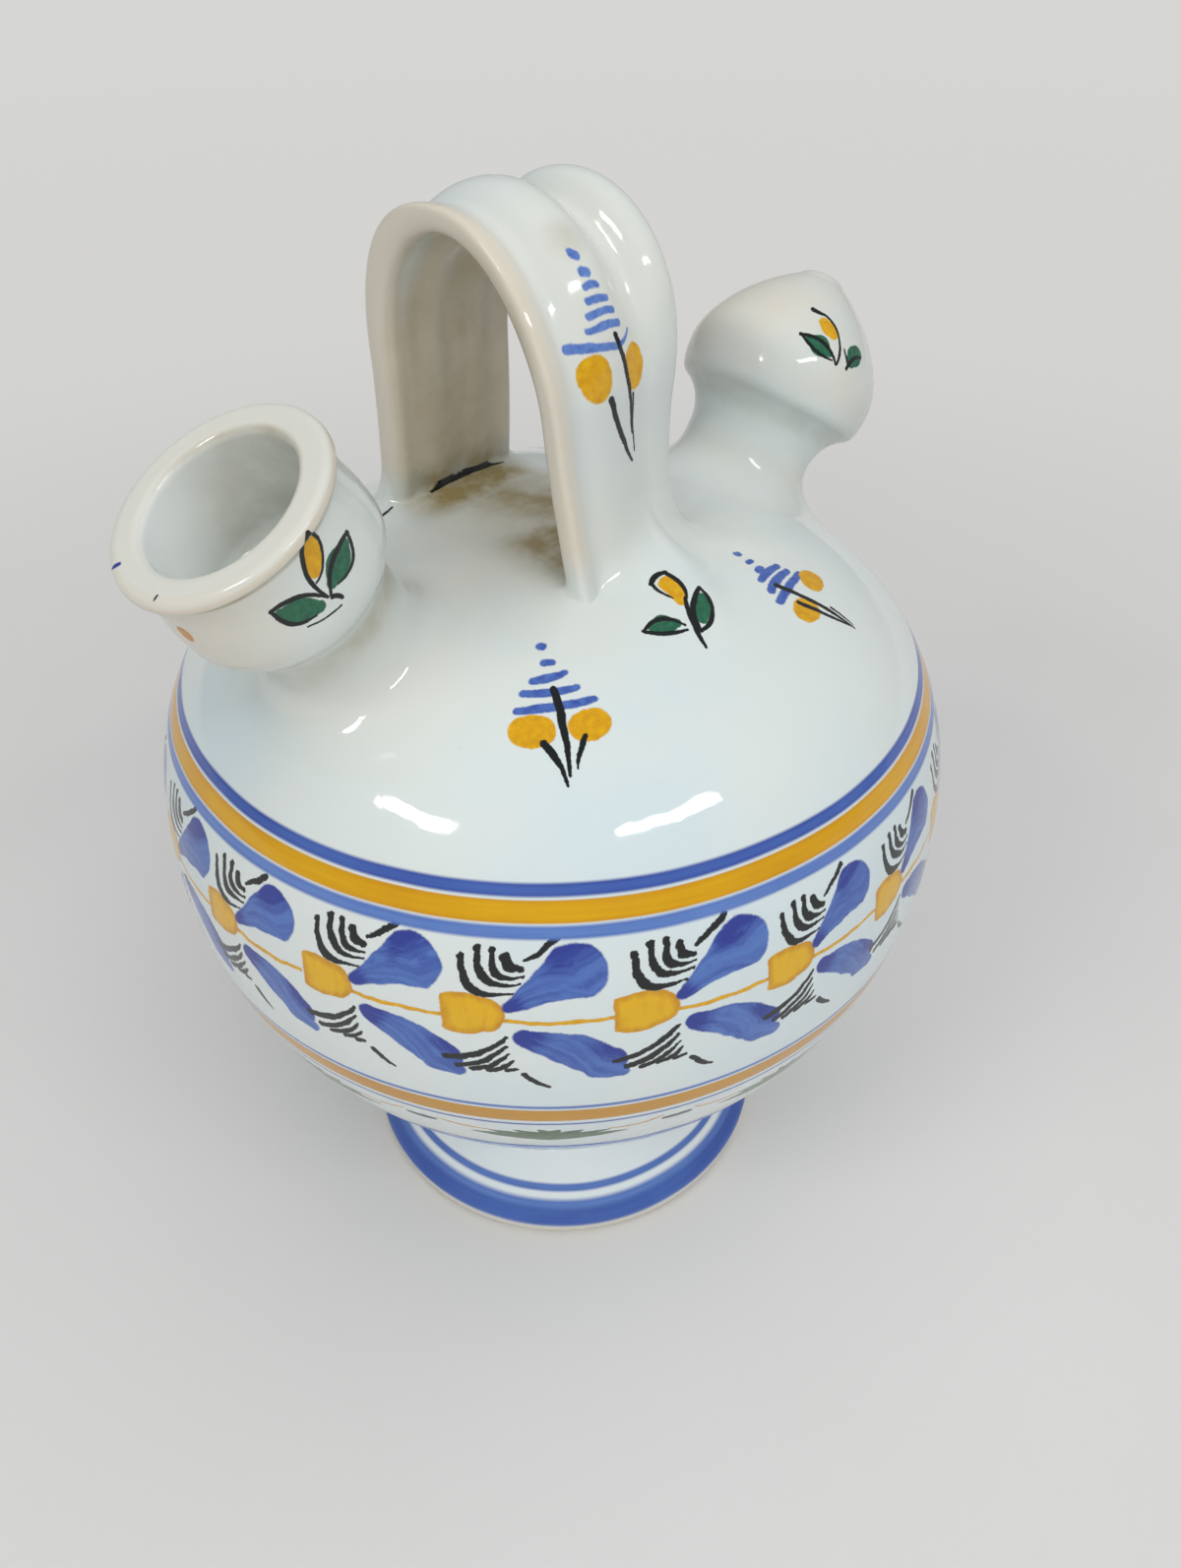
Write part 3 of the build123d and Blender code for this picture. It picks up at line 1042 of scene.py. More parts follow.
# %% Brush stroke group
def make_brush_stroke():
    tree, inputs, outputs = group(
        "brush_stroke",
        [
            ("Position", "Vector", (0, 0, 0)),
            ("Start", "Vector", (0, 0, 0)),
            ("Turn", "Vector", (0, 0, 0)),
            ("Length", "Float", 10.0),
            ("Bend", "Float", 0.0),
            ("Start Width", "Float", 1.0),
            ("Belly Width", "Float", 0.0),
            ("End Width", "Float", 1.0),
        ],
        [("Distance", "Float"), ("Along", "Float"), ("Across", "Float")],
    )
    mapping = tree.nodes.new("ShaderNodeMapping")
    mapping.vector_type = "TEXTURE"
    feed(tree, inputs["Position"], mapping.inputs["Vector"])
    feed(tree, inputs["Start"], mapping.inputs["Location"])
    feed(tree, inputs["Turn"], mapping.inputs["Rotation"])
    run, side, _ = parts_of(tree, mapping.outputs[0])
    share = calc(tree, "DIVIDE", run, inputs["Length"])
    along = calc(tree, "ADD", share, 0.0, clamp=True)
    beyond = calc(tree, "MULTIPLY", calc(tree, "SUBTRACT", share, along), inputs["Length"])
    arc = calc(tree, "SUBTRACT", along, calc(tree, "MULTIPLY", along, along))
    bow = calc(tree, "MULTIPLY", inputs["Bend"], -4.0)
    off = calc(tree, "MULTIPLY_ADD", arc, bow, side)
    belly = calc(tree, "MULTIPLY", inputs["Belly Width"], 4.0)
    taper = calc(tree, "SUBTRACT", inputs["End Width"], inputs["Start Width"])
    half = calc(tree, "MULTIPLY_ADD", along, taper, inputs["Start Width"])
    half = calc(tree, "MULTIPLY_ADD", arc, belly, half)
    gap = vector_calc(tree, "LENGTH", vector_of(tree, beyond, off, 0.0), out=1)
    feed(tree, calc(tree, "SUBTRACT", gap, half), outputs["Distance"])
    feed(tree, along, outputs["Along"])
    feed(tree, calc(tree, "DIVIDE", off, half), outputs["Across"])
    return tree


brush_stroke = make_brush_stroke()
print("brush stroke group has", len(brush_stroke.nodes), "nodes")


# %% Placing strokes
usual_softness = 0.14


def stroke(tree, position, start, end, widths, bend=0.0):
    """Place one stroke: its ends, its half widths at start, belly and end, and its bow."""
    dx, dy = end[0] - start[0], end[1] - start[1]
    return use(
        tree,
        brush_stroke,
        Position=position,
        Start=(start[0], start[1], 0),
        Turn=(0, 0, atan2(dy, dx)),
        Length=float(np.hypot(dx, dy)),
        Bend=bend,
        Start_Width=widths[0],
        Belly_Width=widths[1],
        End_Width=widths[2],
    )


def strokes(tree, position, rows):
    """The distance to the nearest of several strokes."""
    nearest = None
    for row in rows:
        distance = stroke(tree, position, *row)["Distance"]
        nearest = distance if nearest is None else calc(tree, "MINIMUM", nearest, distance)
    return nearest


def inked(tree, distance, softness=usual_softness):
    """How much paint lies where a stroke's distance is this."""
    return ramp(tree, distance, -softness, softness, 1.0, 0.0)


print("a stroke's edge is", 2 * usual_softness, "mm soft")


# %% Hand wobble group
def make_hand_wobble():
    """A brush held in the hand never draws a clean edge, so the position shakes a little."""
    tree, inputs, outputs = group(
        "hand_wobble",
        [("Position", "Vector", (0, 0, 0)), ("Reach", "Float", 0.5), ("Shake", "Float", 0.12)],
        [("Position", "Vector")],
    )
    centre = (-0.5, -0.5, -0.5)
    slow = vector_calc(tree, "ADD", noise(tree, inputs["Position"], 0.22, detail=1.0, out=1), centre)
    fast = vector_calc(tree, "ADD", noise(tree, inputs["Position"], 1.6, detail=1.0, out=1), centre)
    slow = vector_calc(tree, "SCALE", slow)
    feed(tree, inputs["Reach"], slow.node.inputs["Scale"])
    fast = vector_calc(tree, "SCALE", fast)
    feed(tree, inputs["Shake"], fast.node.inputs["Scale"])
    moved = vector_calc(tree, "ADD", inputs["Position"], vector_calc(tree, "ADD", slow, fast))
    feed(tree, moved, outputs["Position"])
    return tree


hand_wobble = make_hand_wobble()
print("hand wobble group has", len(hand_wobble.nodes), "nodes")

# %% [markdown]
# The garland
#
# Between the two orange bands runs a garland: an orange bud on a thin stem, a blue petal
# above it and a blue leaf below, a black fern over it and a black comb under it. The painter
# repeats it round the belly by eye. The point's angle is folded into one such unit, so the
# strokes are written once, and each unit is shifted a little by its own number, which also
# gives it a layer of noise of its own. Next units reach over each other, so the fold is made
# twice: one window holds the bud, the fern and the comb, and a second one that starts later
# holds the petal, the leaf and the stem.

# %% Garland numbers
garland_count = 19
garland_start = radians(216.6)
garland_radius = 98.0
garland_height = 146.0
bud_window = -8.0
petal_window = 2.0
unit_layer = 31.0
fern_strokes = [
    ((-1.8, 14.2), (8.4, 6.5), (1.00, 0.40, 0.45), -4.6),
    ((1.6, 15.8), (9.8, 8.8), (1.05, 0.35, 0.45), -3.9),
    ((4.6, 15.8), (10.2, 10.4), (1.05, 0.30, 0.50), -3.0),
    ((7.2, 14.6), (9.8, 12.2), (1.20, 0.20, 0.90), -1.0),
    ((17.2, 18.6), (10.6, 14.0), (0.80, 0.1, 0.45), 0.3),
]
comb_strokes = [
    ((-6.0, -13.6), (6.8, -5.6), (0.90, 0.20, 0.50), -1.5),
    ((-3.5, -15.9), (6.6, -8.2), (0.85, 0.20, 0.42), -1.3),
    ((-0.6, -16.6), (7.1, -10.6), (0.80, 0.15, 0.40), -1.0),
    ((3.0, -16.3), (7.8, -12.9), (0.75, 0.15, 0.40), -0.6),
    ((6.3, -16.1), (8.4, -15.7), (0.75, 0.0, 0.55), 0.0),
    ((9.9, -17.4), (14.7, -21.8), (0.80, 0.2, 0.40), -0.4),
]
swing_reach = radians(1.2)
swing_heading = radians(262)
garland_turn = garland_start + radians(1.1)
print("a unit of the garland is", round(2 * pi * garland_radius / garland_count, 1), "mm long")


# %% Garland group
def make_garland():
    tree, inputs, outputs = group(
        "garland",
        [("Position", "Vector", (0, 0, 0))],
        [
            ("Blue", "Float"), ("Blue Tone", "Float"), ("Orange", "Float"),
            ("Orange Tone", "Float"), ("Black", "Float"),
        ],
    )
    x, y, z = parts_of(tree, inputs["Position"])
    turn = calc(tree, "ARCTAN2", y, x)
    swing = calc(tree, "SINE", calc(tree, "MULTIPLY_ADD", turn, 3.0, pi / 2 - 3 * swing_heading))
    turn = calc(tree, "MULTIPLY_ADD", swing, -swing_reach, turn)
    pitch = 2 * pi / garland_count
    place = calc(tree, "DIVIDE", calc(tree, "SUBTRACT", turn, garland_turn), pitch)
    up = calc(tree, "SUBTRACT", z, garland_height)
    hand = in_window(tree, place, up, bud_window)
    round_bud = stroke(tree, hand, (-3.0, 0.1), (2.2, 0.3), (5.4, 0.4, 4.7), 0.0)["Distance"]
    cut_edge = calc(tree, "SUBTRACT", -6.2, parts_of(tree, hand)[0])
    bud = calc(tree, "MAXIMUM", round_bud, cut_edge)
    drawn_out = vector_calc(tree, "MULTIPLY", hand, (0.55, 0.16, 1.0))
    streak = noise(tree, drawn_out, 1.0, detail=3.0, roughness=0.6)
    pooled = ramp(tree, bud, -2.4, -0.2, -0.35, 0.35)
    rim = calc(tree, "MULTIPLY", pooled, ramp(tree, bud, 0.4, 1.0, 1.0, 0.0))
    tone = calc(tree, "ADD", calc(tree, "MULTIPLY_ADD", streak, 1.5, -0.42), rim, clamp=True)
    feed(tree, tone, outputs["Orange Tone"])
    ragged = calc(tree, "MULTIPLY_ADD", noise(tree, hand, 1.1, detail=1.0), 0.5, -0.2)
    black = calc(tree, "ADD", strokes(tree, hand, fern_strokes + comb_strokes), ragged)
    feed(tree, inked(tree, black, 0.13), outputs["Black"])

    hand = in_window(tree, place, up, petal_window)
    petal = stroke(tree, hand, (7.6, 2.7), (20.2, 10.8), (1.5, -0.5, 6.7), 0.5)
    leaf = stroke(tree, hand, (10.4, -5.7), (25.4, -13.8), (2.4, 0.9, 4.9), 1.0)
    leaf_tip = stroke(tree, hand, (24.6, -16.0), (29.0, -17.8), (3.2, 0, 1.9), 0.0)
    blue = calc(tree, "MINIMUM", petal["Distance"], leaf["Distance"])
    blue = calc(tree, "MINIMUM", blue, leaf_tip["Distance"])
    feed(tree, inked(tree, blue, 0.3), outputs["Blue"])
    feed(tree, petal_tone(tree, petal, leaf, hand, blue), outputs["Blue Tone"])
    stem = stroke(tree, hand, (5.0, -0.7), (28.4, -0.6), (0.5, 0.1, 0.45), -0.7)
    orange = calc(tree, "MINIMUM", bud, stem["Distance"])
    feed(tree, inked(tree, orange, 0.2), outputs["Orange"])
    return tree


def in_window(tree, place, up, window):
    """The place in a unit, with the fold that starts at window, moved and shaken by hand."""
    unit = garland_radius * 2 * pi / garland_count
    shifted = calc(tree, "SUBTRACT", place, window / unit)
    number = calc(tree, "FLOOR", shifted)
    run = calc(tree, "MULTIPLY", calc(tree, "SUBTRACT", place, number), unit)
    each = calc(tree, "FLOORED_MODULO", number, float(garland_count))
    white = put(tree, "ShaderNodeTexWhiteNoise", None, each, out=1, noise_dimensions="1D")
    chance = parts_of(tree, white)
    jitter = vector_of(
        tree,
        calc(tree, "MULTIPLY_ADD", chance[0], 1.4, -0.7),
        calc(tree, "MULTIPLY_ADD", chance[1], 1.2, -0.6),
        calc(tree, "MULTIPLY", each, unit_layer),
    )
    grown = calc(tree, "MULTIPLY_ADD", chance[2], 0.14, 0.95)
    flat = vector_of(tree, calc(tree, "MULTIPLY", run, grown), calc(tree, "MULTIPLY", up, grown), 0.0)
    flat = vector_calc(tree, "ADD", flat, jitter)
    return use(tree, hand_wobble, Position=flat, Reach=1.3, Shake=0.35)["Position"]


def petal_tone(tree, petal, leaf, hand, blue):
    """How dark the blue lies: streaks along the stroke, pools at both ends and at the rim."""
    nearer = calc(tree, "LESS_THAN", petal["Distance"], leaf["Distance"])
    along = mix_values(tree, nearer, leaf["Along"], petal["Along"])
    across_share = mix_values(tree, nearer, leaf["Across"], petal["Across"])
    layer = parts_of(tree, hand)[2]
    swept = calc(tree, "MULTIPLY_ADD", calc(tree, "MULTIPLY", along, along), 0.9, across_share)
    brushed = vector_of(tree, calc(tree, "MULTIPLY", along, 0.35), calc(tree, "MULTIPLY", swept, 2.2), layer)
    streak = noise(tree, brushed, 1.3, detail=3.0, roughness=0.55)
    outer_side = ramp(tree, across_share, -0.2, 0.75, 0.0, 0.9)
    far_pool = calc(tree, "MULTIPLY", ramp(tree, along, 0.55, 1.0), outer_side)
    pool = calc(tree, "ADD", far_pool, ramp(tree, along, 0.0, 0.32, 1.0, 0.0))
    rim = ramp(tree, blue, -0.7, 0.0, 0.0, 0.15)
    tone = calc(tree, "MULTIPLY_ADD", streak, 2.0, -0.75)
    return calc(tree, "ADD", calc(tree, "ADD", tone, pool), rim, clamp=True)


def mix_values(tree, factor, first, second):
    """Mix two numbers."""
    node = tree.nodes.new("ShaderNodeMix")
    feed(tree, factor, node.inputs["Factor"])
    feed(tree, first, node.inputs["A"])
    feed(tree, second, node.inputs["B"])
    return node.outputs[0]


garland = make_garland()
print("garland group has", len(garland.nodes), "nodes for", garland_count, "units")

# %% [markdown]
# Bands
#
# The bands are drawn with the jug turning on the wheel and the brush held still, so they are
# even, run right round and show streaks along the turn. Each is a stretch of height with a
# soft edge, and its paint thins and thickens as the brush is loaded again.


# %% Band group
def make_band():
    tree, inputs, outputs = group(
        "band",
        [
            ("Position", "Vector", (0, 0, 0)),
            ("Low", "Float", 0.0),
            ("High", "Float", 1.0),
            ("Softness", "Float", 0.25),
        ],
        [("Mask", "Float"), ("Tone", "Float")],
    )
    x, y, z = parts_of(tree, inputs["Position"])
    turn = vector_of(tree, x, y, calc(tree, "MULTIPLY", z, 0.3))
    sway = calc(tree, "MULTIPLY_ADD", noise(tree, turn, 0.02, detail=2.0), 0.9, -0.45)
    height = calc(tree, "ADD", z, sway)
    under = calc(tree, "SUBTRACT", inputs["Low"], height)
    over = calc(tree, "SUBTRACT", height, inputs["High"])
    distance = calc(tree, "MAXIMUM", under, over)
    soft = inputs["Softness"]
    mask = put(
        tree, "ShaderNodeMapRange", distance, calc(tree, "MULTIPLY", soft, -1.0), soft, 1.0, 0.0,
        interpolation_type="SMOOTHSTEP",
    )
    feed(tree, mask, outputs["Mask"])
    drawn_out = vector_calc(tree, "MULTIPLY", inputs["Position"], (0.03, 0.03, 1.0))
    lines = noise(tree, drawn_out, 1.3, detail=3.0)
    patch = noise(tree, inputs["Position"], 0.05, detail=3.0)
    edge = ramp(tree, distance, -1.0, 0.0, 0.0, 0.3)
    tone = calc(tree, "ADD", calc(tree, "MULTIPLY", lines, 0.5), calc(tree, "MULTIPLY", patch, 0.6))
    feed(tree, calc(tree, "ADD", calc(tree, "SUBTRACT", tone, 0.15), edge, clamp=True), outputs["Tone"])
    return tree


band = make_band()
print("band group has", len(band.nodes), "nodes")

# %% [markdown]
# Sprigs and buds
#
# On the shoulder and the handle stand small sprigs: two blue dots, blue rungs that grow
# wider, two orange fruits and black stalks. The mouth, the spout and the handle's foot carry
# a bud with an orange petal and two green leaves, outlined in black. They are painted flat
# in a small frame of their own, which is then laid on the clay where the painter put it.


# %% Motif maker
motif_reach = 10.0


def make_motif(name, reach, shake, layers, streak):
    """A group for a small flat painting: its layers give a paint, a soft edge and strokes."""
    tree, inputs, outputs = group(
        name,
        [("Position", "Vector", (0, 0, 0))],
        [*[(paint, "Float") for paint, softness, rows in layers], ("Tone", "Float")],
    )
    moved = use(tree, hand_wobble, Position=inputs["Position"], Reach=reach, Shake=shake)
    hand = moved["Position"]
    off_clay = calc(tree, "ABSOLUTE", parts_of(tree, inputs["Position"])[2])
    near = ramp(tree, off_clay, motif_reach - 1.0, motif_reach, 1.0, 0.0)
    for paint, softness, rows in layers:
        mask = inked(tree, strokes(tree, hand, rows), softness)
        feed(tree, calc(tree, "MULTIPLY", mask, near), outputs[paint])
    scale, roughness, gain, start = streak
    streaks = noise(tree, hand, scale, detail=3.0, roughness=roughness)
    feed(tree, calc(tree, "MULTIPLY_ADD", streaks, gain, start, clamp=True), outputs["Tone"])
    return tree


def make_sprig(name, dots, rungs, fruits, stalks):
    layers = [("Blue", 0.22, dots + rungs), ("Orange", 0.2, fruits), ("Black", 0.12, stalks)]
    return make_motif(name, 0.9, 0.35, layers, streak=(0.55, 0.6, 1.6, -0.4))


def make_bud(name, petals, leaves, outlines):
    layers = [("Orange", 0.15, petals), ("Green", 0.15, leaves), ("Black", 0.1, outlines)]
    return make_motif(name, 0.5, 0.22, layers, streak=(0.7, 0.65, 1.7, -0.45))


print("a motif is painted on clay that lies within", motif_reach, "mm of its flat frame")

# %% Sprig groups
shoulder_sprig = make_sprig(
    "shoulder_sprig",
    dots=[((-0.6, 17.4), (-0.2, 17.2), (0.95, 0, 0.9)), ((-0.7, 13.2), (1.0, 13.0), (0.95, 0, 0.85))],
    rungs=[
        ((-3.6, 9.1), (3.0, 10.0), (0.90, 0.2, 0.75), -0.4),
        ((-6.0, 6.4), (4.4, 6.0), (0.90, 0.2, 0.85), -0.5),
        ((-7.8, 2.8), (7.5, 2.7), (0.85, 0.2, 0.80), -0.4),
    ],
    fruits=[
        ((-7.0, -2.0), (-4.4, -2.3), (3.4, 0.3, 3.4), 0.0),
        ((4.6, -3.0), (6.6, -2.5), (3.3, 0.3, 3.3), 0.0),
    ],
    stalks=[
        ((0.1, 6.4), (-0.2, -12.4), (0.85, 0.2, 0.35), 0.5),
        ((-3.9, -5.0), (-0.9, -14.3), (0.85, 0.1, 0.3), 0.4),
        ((4.3, -5.0), (1.6, -11.2), (0.6, 0.1, 0.25), -0.3),
    ],
)
right_sprig = make_sprig(
    "right_sprig",
    dots=[
        ((-0.3, 15.7), (0.2, 15.5), (0.85, 0, 0.85)),
        ((-0.9, 12.3), (0.2, 12.1), (0.9, 0, 0.85)),
        ((-1.9, 9.0), (-0.2, 9.2), (0.9, 0, 0.9)),
    ],
    rungs=[
        ((-4.5, 6.8), (4.3, 7.4), (0.95, 0.15, 0.85), 0.4),
        ((-5.6, 3.4), (4.9, 4.9), (1.0, 0.15, 0.9), 0.5),
        ((-7.2, 0.1), (7.2, 2.7), (1.0, 0.15, 0.8), 0.3),
    ],
    fruits=[
        ((-4.6, -5.4), (-2.4, -4.9), (2.9, 0.3, 3.1), 0.0),
        ((7.2, -0.8), (8.8, 0.0), (2.9, 0.3, 3.0), 0.0),
    ],
    stalks=[
        ((-2.6, 3.5), (4.5, -14.9), (0.75, 0.15, 0.3), 0.5),
        ((-2.9, -2.7), (4.3, -14.4), (0.7, 0.1, 0.3), -0.3),
        ((3.9, -8.3), (5.2, -14.2), (0.45, 0.0, 0.22), 0.2),
    ],
)
handle_sprig = make_sprig(
    "handle_sprig",
    dots=[((-3.0, 20.6), (-2.2, 20.2), (0.85, 0, 0.8)), ((-2.4, 17.7), (-1.4, 17.4), (0.8, 0, 0.8))],
    rungs=[
        ((-2.9, 15.3), (-0.2, 15.3), (0.62, 0.05, 0.62), 0.2),
        ((-3.5, 13.0), (0.9, 13.0), (0.65, 0.05, 0.65), 0.2),
        ((-4.2, 10.7), (1.7, 10.7), (0.68, 0.05, 0.68), 0.3),
        ((-5.1, 8.1), (2.5, 8.2), (0.68, 0.08, 0.68), 0.4),
        ((-9.6, 5.6), (1.6, 4.2), (0.85, 0.1, 0.62), 0.2),
        ((1.4, 4.4), (5.2, 6.4), (0.6, 0.0, 0.3), -0.4),
    ],
    fruits=[
        ((-5.3, 0.2), (-5.0, -1.2), (3.9, 0.2, 3.7), 0.0),
        ((5.5, 1.0), (5.3, -2.6), (2.7, 0.5, 2.5), 0.0),
    ],
    stalks=[
        ((1.0, 6.4), (4.6, -14.2), (0.60, 0.1, 0.3), 0.7),
        ((-2.0, -5.0), (4.6, -19.8), (0.75, 0.15, 0.3), -0.6),
        ((4.9, -5.8), (5.4, -18.0), (0.35, 0.0, 0.22), -0.2),
    ],
)
print("sprigs:", ", ".join(made.name for made in (shoulder_sprig, right_sprig, handle_sprig)))

# %% Bud groups
mouth_bud = make_bud(
    "mouth_bud",
    petals=[((-3.2, 10.0), (-2.4, 5.0), (1.7, 0.5, 1.3), 0.4)],
    leaves=[
        ((1.0, 2.4), (4.7, 8.3), (1.2, 1.5, 1.0), 0.2),
        ((-1.6, -1.6), (-8.4, -2.0), (1.3, 1.2, 1.0), 0.0),
    ],
    outlines=[
        ((-3.9, 12.6), (0.0, 0.0), (0.55, 0.05, 0.35), -2.4),
        ((-3.6, 12.4), (-0.5, 6.8), (0.45, 0.0, 0.3), 1.2),
        ((-0.5, 6.9), (-2.1, 2.9), (0.3, 0.0, 0.2), 0.4),
        ((0.6, 0.2), (5.5, 9.9), (0.35, 0.1, 0.5), 1.9),
        ((5.7, 9.8), (2.2, 2.0), (0.5, 0.0, 0.25), 2.0),
        ((0.0, -0.1), (-9.9, -1.4), (0.3, 0.1, 0.5), -1.7),
        ((-10.0, -1.6), (-2.2, -3.2), (0.5, 0.1, 0.3), -1.9),
        ((-3.6, -5.2), (2.8, -2.2), (0.22, 0.0, 0.2), -0.3),
        ((1.0, -0.2), (3.0, -0.8), (0.55, 0.0, 0.4), 0.2),
    ],
)
spout_bud = make_bud(
    "spout_bud",
    petals=[((-0.3, 10.0), (0.9, 7.4), (1.7, 0.5, 1.6), 0.0)],
    leaves=[
        ((-5.8, 6.4), (-1.8, 2.8), (1.2, 1.6, 1.1), 0.2),
        ((7.9, 2.5), (5.0, 0.7), (2.1, 0.6, 1.8), 0.0),
    ],
    outlines=[
        ((-1.7, 13.9), (0.7, 12.4), (0.75, 0.0, 0.45), -0.1),
        ((0.7, 12.4), (2.5, 6.7), (0.45, 0.0, 0.35), 0.7),
        ((2.5, 6.9), (0.0, 0.0), (0.3, 0.05, 0.35), 0.6),
        ((-7.7, 7.9), (-0.3, 0.0), (0.55, 0.10, 0.35), 1.9),
        ((-7.4, 7.6), (-1.2, 1.0), (0.4, 0.10, 0.25), -1.1),
        ((9.2, 1.6), (3.1, -1.2), (0.45, 0.10, 0.45), -0.9),
        ((3.4, 3.4), (4.2, -0.6), (0.3, 0.0, 0.3), -0.3),
    ],
)
root_bud = make_bud(
    "root_bud",
    petals=[((-1.3, 12.9), (0.1, 7.6), (2.3, 0.3, 1.3), 0.3)],
    leaves=[
        ((-7.6, 0.9), (-2.6, 1.6), (1.1, 1.4, 1.3), 0.4),
        ((4.9, 8.6), (3.4, 2.0), (0.9, 0.9, 1.1), 0.0),
    ],
    outlines=[
        ((-5.0, 13.4), (-1.4, 16.1), (0.6, 0.1, 0.6), 0.8),
        ((-1.6, 16.1), (1.3, 8.0), (0.6, 0.1, 0.35), 1.4),
        ((-4.9, 13.6), (-1.6, 8.6), (0.5, 0.0, 0.25), -0.5),
        ((1.1, 8.4), (2.4, -5.2), (0.4, 0.25, 0.35), -0.6),
        ((-9.6, 0.1), (-0.9, 1.0), (0.55, 0.15, 0.45), 2.6),
        ((-9.4, -0.1), (-0.6, -0.4), (0.55, 0.15, 0.4), -0.7),
        ((5.0, 11.0), (2.2, -0.8), (0.55, 0.15, 0.5), -1.5),
        ((2.4, -1.0), (6.2, 4.6), (0.5, 0.15, 0.4), -0.8),
        ((6.2, 4.4), (5.2, 10.8), (0.4, 0.1, 0.45), -0.6),
    ],
)
print("buds:", ", ".join(made.name for made in (mouth_bud, spout_bud, root_bud)))


# %% Motif places
motif_places = {
    "left_sprig": ((-41.66, -46.92, 194.49), (0.495, 0.768, 0.406), (-0.272, -0.307, 0.912)),
    "right_sprig": ((25.89, -52.01, 196.41), (-0.14, 0.93, 0.341), (0.159, -0.319, 0.935)),
    "handle_sprig": ((-1.6, -24.0, 245.2), (0.0, 0.0, 1.0), (0.0, -1.0, 0.0)),
    "root_bud": ((-6.33, -48.95, 199.27), (0.528, 0.814, 0.245), (-0.035, -0.267, 0.963)),
    "mouth_bud": ((-73.13, -22.12, 224.21), (0.17, 0.081, 0.982), (-0.103, -0.99, 0.1)),
    "spout_bud": ((76.74, -21.56, 225.64), (0.259, 0.467, 0.845), (-0.178, -0.837, 0.517)),
}
print("each of", len(motif_places), "motifs has a foot, a way up and a way off the clay")


# %% Laying a motif on the clay
def laid(tree, position, origin, upward_point, normal):
    """A position in the flat frame of a motif: across, up, and off the clay, in millimetres."""
    out = Vector(normal).normalized()
    up = Vector(upward_point) - out * Vector(upward_point).dot(out)
    up.normalize()
    right = up.cross(out)
    turn = Matrix((right, up, out)).transposed().to_euler("XYZ")
    mapping = tree.nodes.new("ShaderNodeMapping")
    mapping.vector_type = "TEXTURE"
    feed(tree, position, mapping.inputs["Vector"])
    mapping.inputs["Location"].default_value = origin
    mapping.inputs["Rotation"].default_value = turn
    return mapping.outputs[0]


def half_turned(tree, position):
    """Carry the far half of the jug onto the near half by half a turn."""
    x, y, z = parts_of(tree, position)
    far = calc(tree, "GREATER_THAN", y, 0.0)
    sign = calc(tree, "MULTIPLY_ADD", far, -2.0, 1.0)
    return vector_calc(tree, "MULTIPLY", position, vector_of(tree, sign, sign, 1.0))


print("each motif on the body is painted once more behind, half a turn on")

# %% [markdown]
# Palmettes
#
# Under the lower bands the painter left a ring of green palmettes, with orange festoons and
# black dashes between. They are folded round the jug as the garland is, from one unit. The
# fronds are one stroke each, fat in the middle, and are given by where their tips reach.

# %% Palmette numbers
palmette_count = 10
palmette_turn = radians(-134.9)
palmette_radius = 88.0
palmette_height = 96.0
palmette_stretch = 1.5
frond_tips = ((16.5, 4.6), (12.5, 8.2), (7.0, 10.4), (2.0, 11.2))
fronds = [
    ((0.0, 0.0), (side * reach, top), (1.1, 1.5, 0.45), side * 1.2)
    for side in (-1, 1)
    for reach, top in frond_tips
]
festoons = [
    ((side * 13.0, 9.0), (side * 24.0, 12.4), (0.45, 0.25, 0.35), side * -1.4) for side in (-1, 1)
]
dashes = [((side * 25.2, 9.4), (side * 29.6, 9.2), (1.2, 0.3, 0.9), 0.0) for side in (-1, 1)]
print("a palmette has", len(fronds), "fronds, and there are", palmette_count, "palmettes")


# %% Palmette group
def make_palmettes():
    """Green palmettes, with black dashes and orange festoons between them."""
    tree, inputs, outputs = group(
        "palmettes",
        [("Position", "Vector", (0, 0, 0))],
        [("Orange", "Float"), ("Green", "Float"), ("Black", "Float"), ("Tone", "Float")],
    )
    x, y, z = parts_of(tree, inputs["Position"])
    pitch = 2 * pi / palmette_count
    turn = calc(tree, "SUBTRACT", calc(tree, "ARCTAN2", y, x), palmette_turn)
    place = calc(tree, "DIVIDE", turn, pitch)
    number = calc(tree, "FLOOR", calc(tree, "ADD", place, 0.5))
    run = calc(tree, "MULTIPLY", calc(tree, "SUBTRACT", place, number), pitch * palmette_radius)
    up = calc(tree, "MULTIPLY", calc(tree, "SUBTRACT", z, palmette_height), palmette_stretch)
    flat = vector_of(tree, run, up, calc(tree, "MULTIPLY", number, unit_layer))
    hand = use(tree, hand_wobble, Position=flat, Reach=1.2, Shake=0.4)["Position"]
    feed(tree, inked(tree, strokes(tree, hand, fronds), 0.3), outputs["Green"])
    feed(tree, inked(tree, strokes(tree, hand, festoons), 0.2), outputs["Orange"])
    feed(tree, inked(tree, strokes(tree, hand, dashes), 0.2), outputs["Black"])
    streak = noise(tree, hand, 0.7, detail=3.0, roughness=0.65)
    feed(tree, calc(tree, "MULTIPLY_ADD", streak, 1.7, -0.45, clamp=True), outputs["Tone"])
    return tree


palmettes = make_palmettes()
print("palmette group has", len(palmettes.nodes), "nodes")
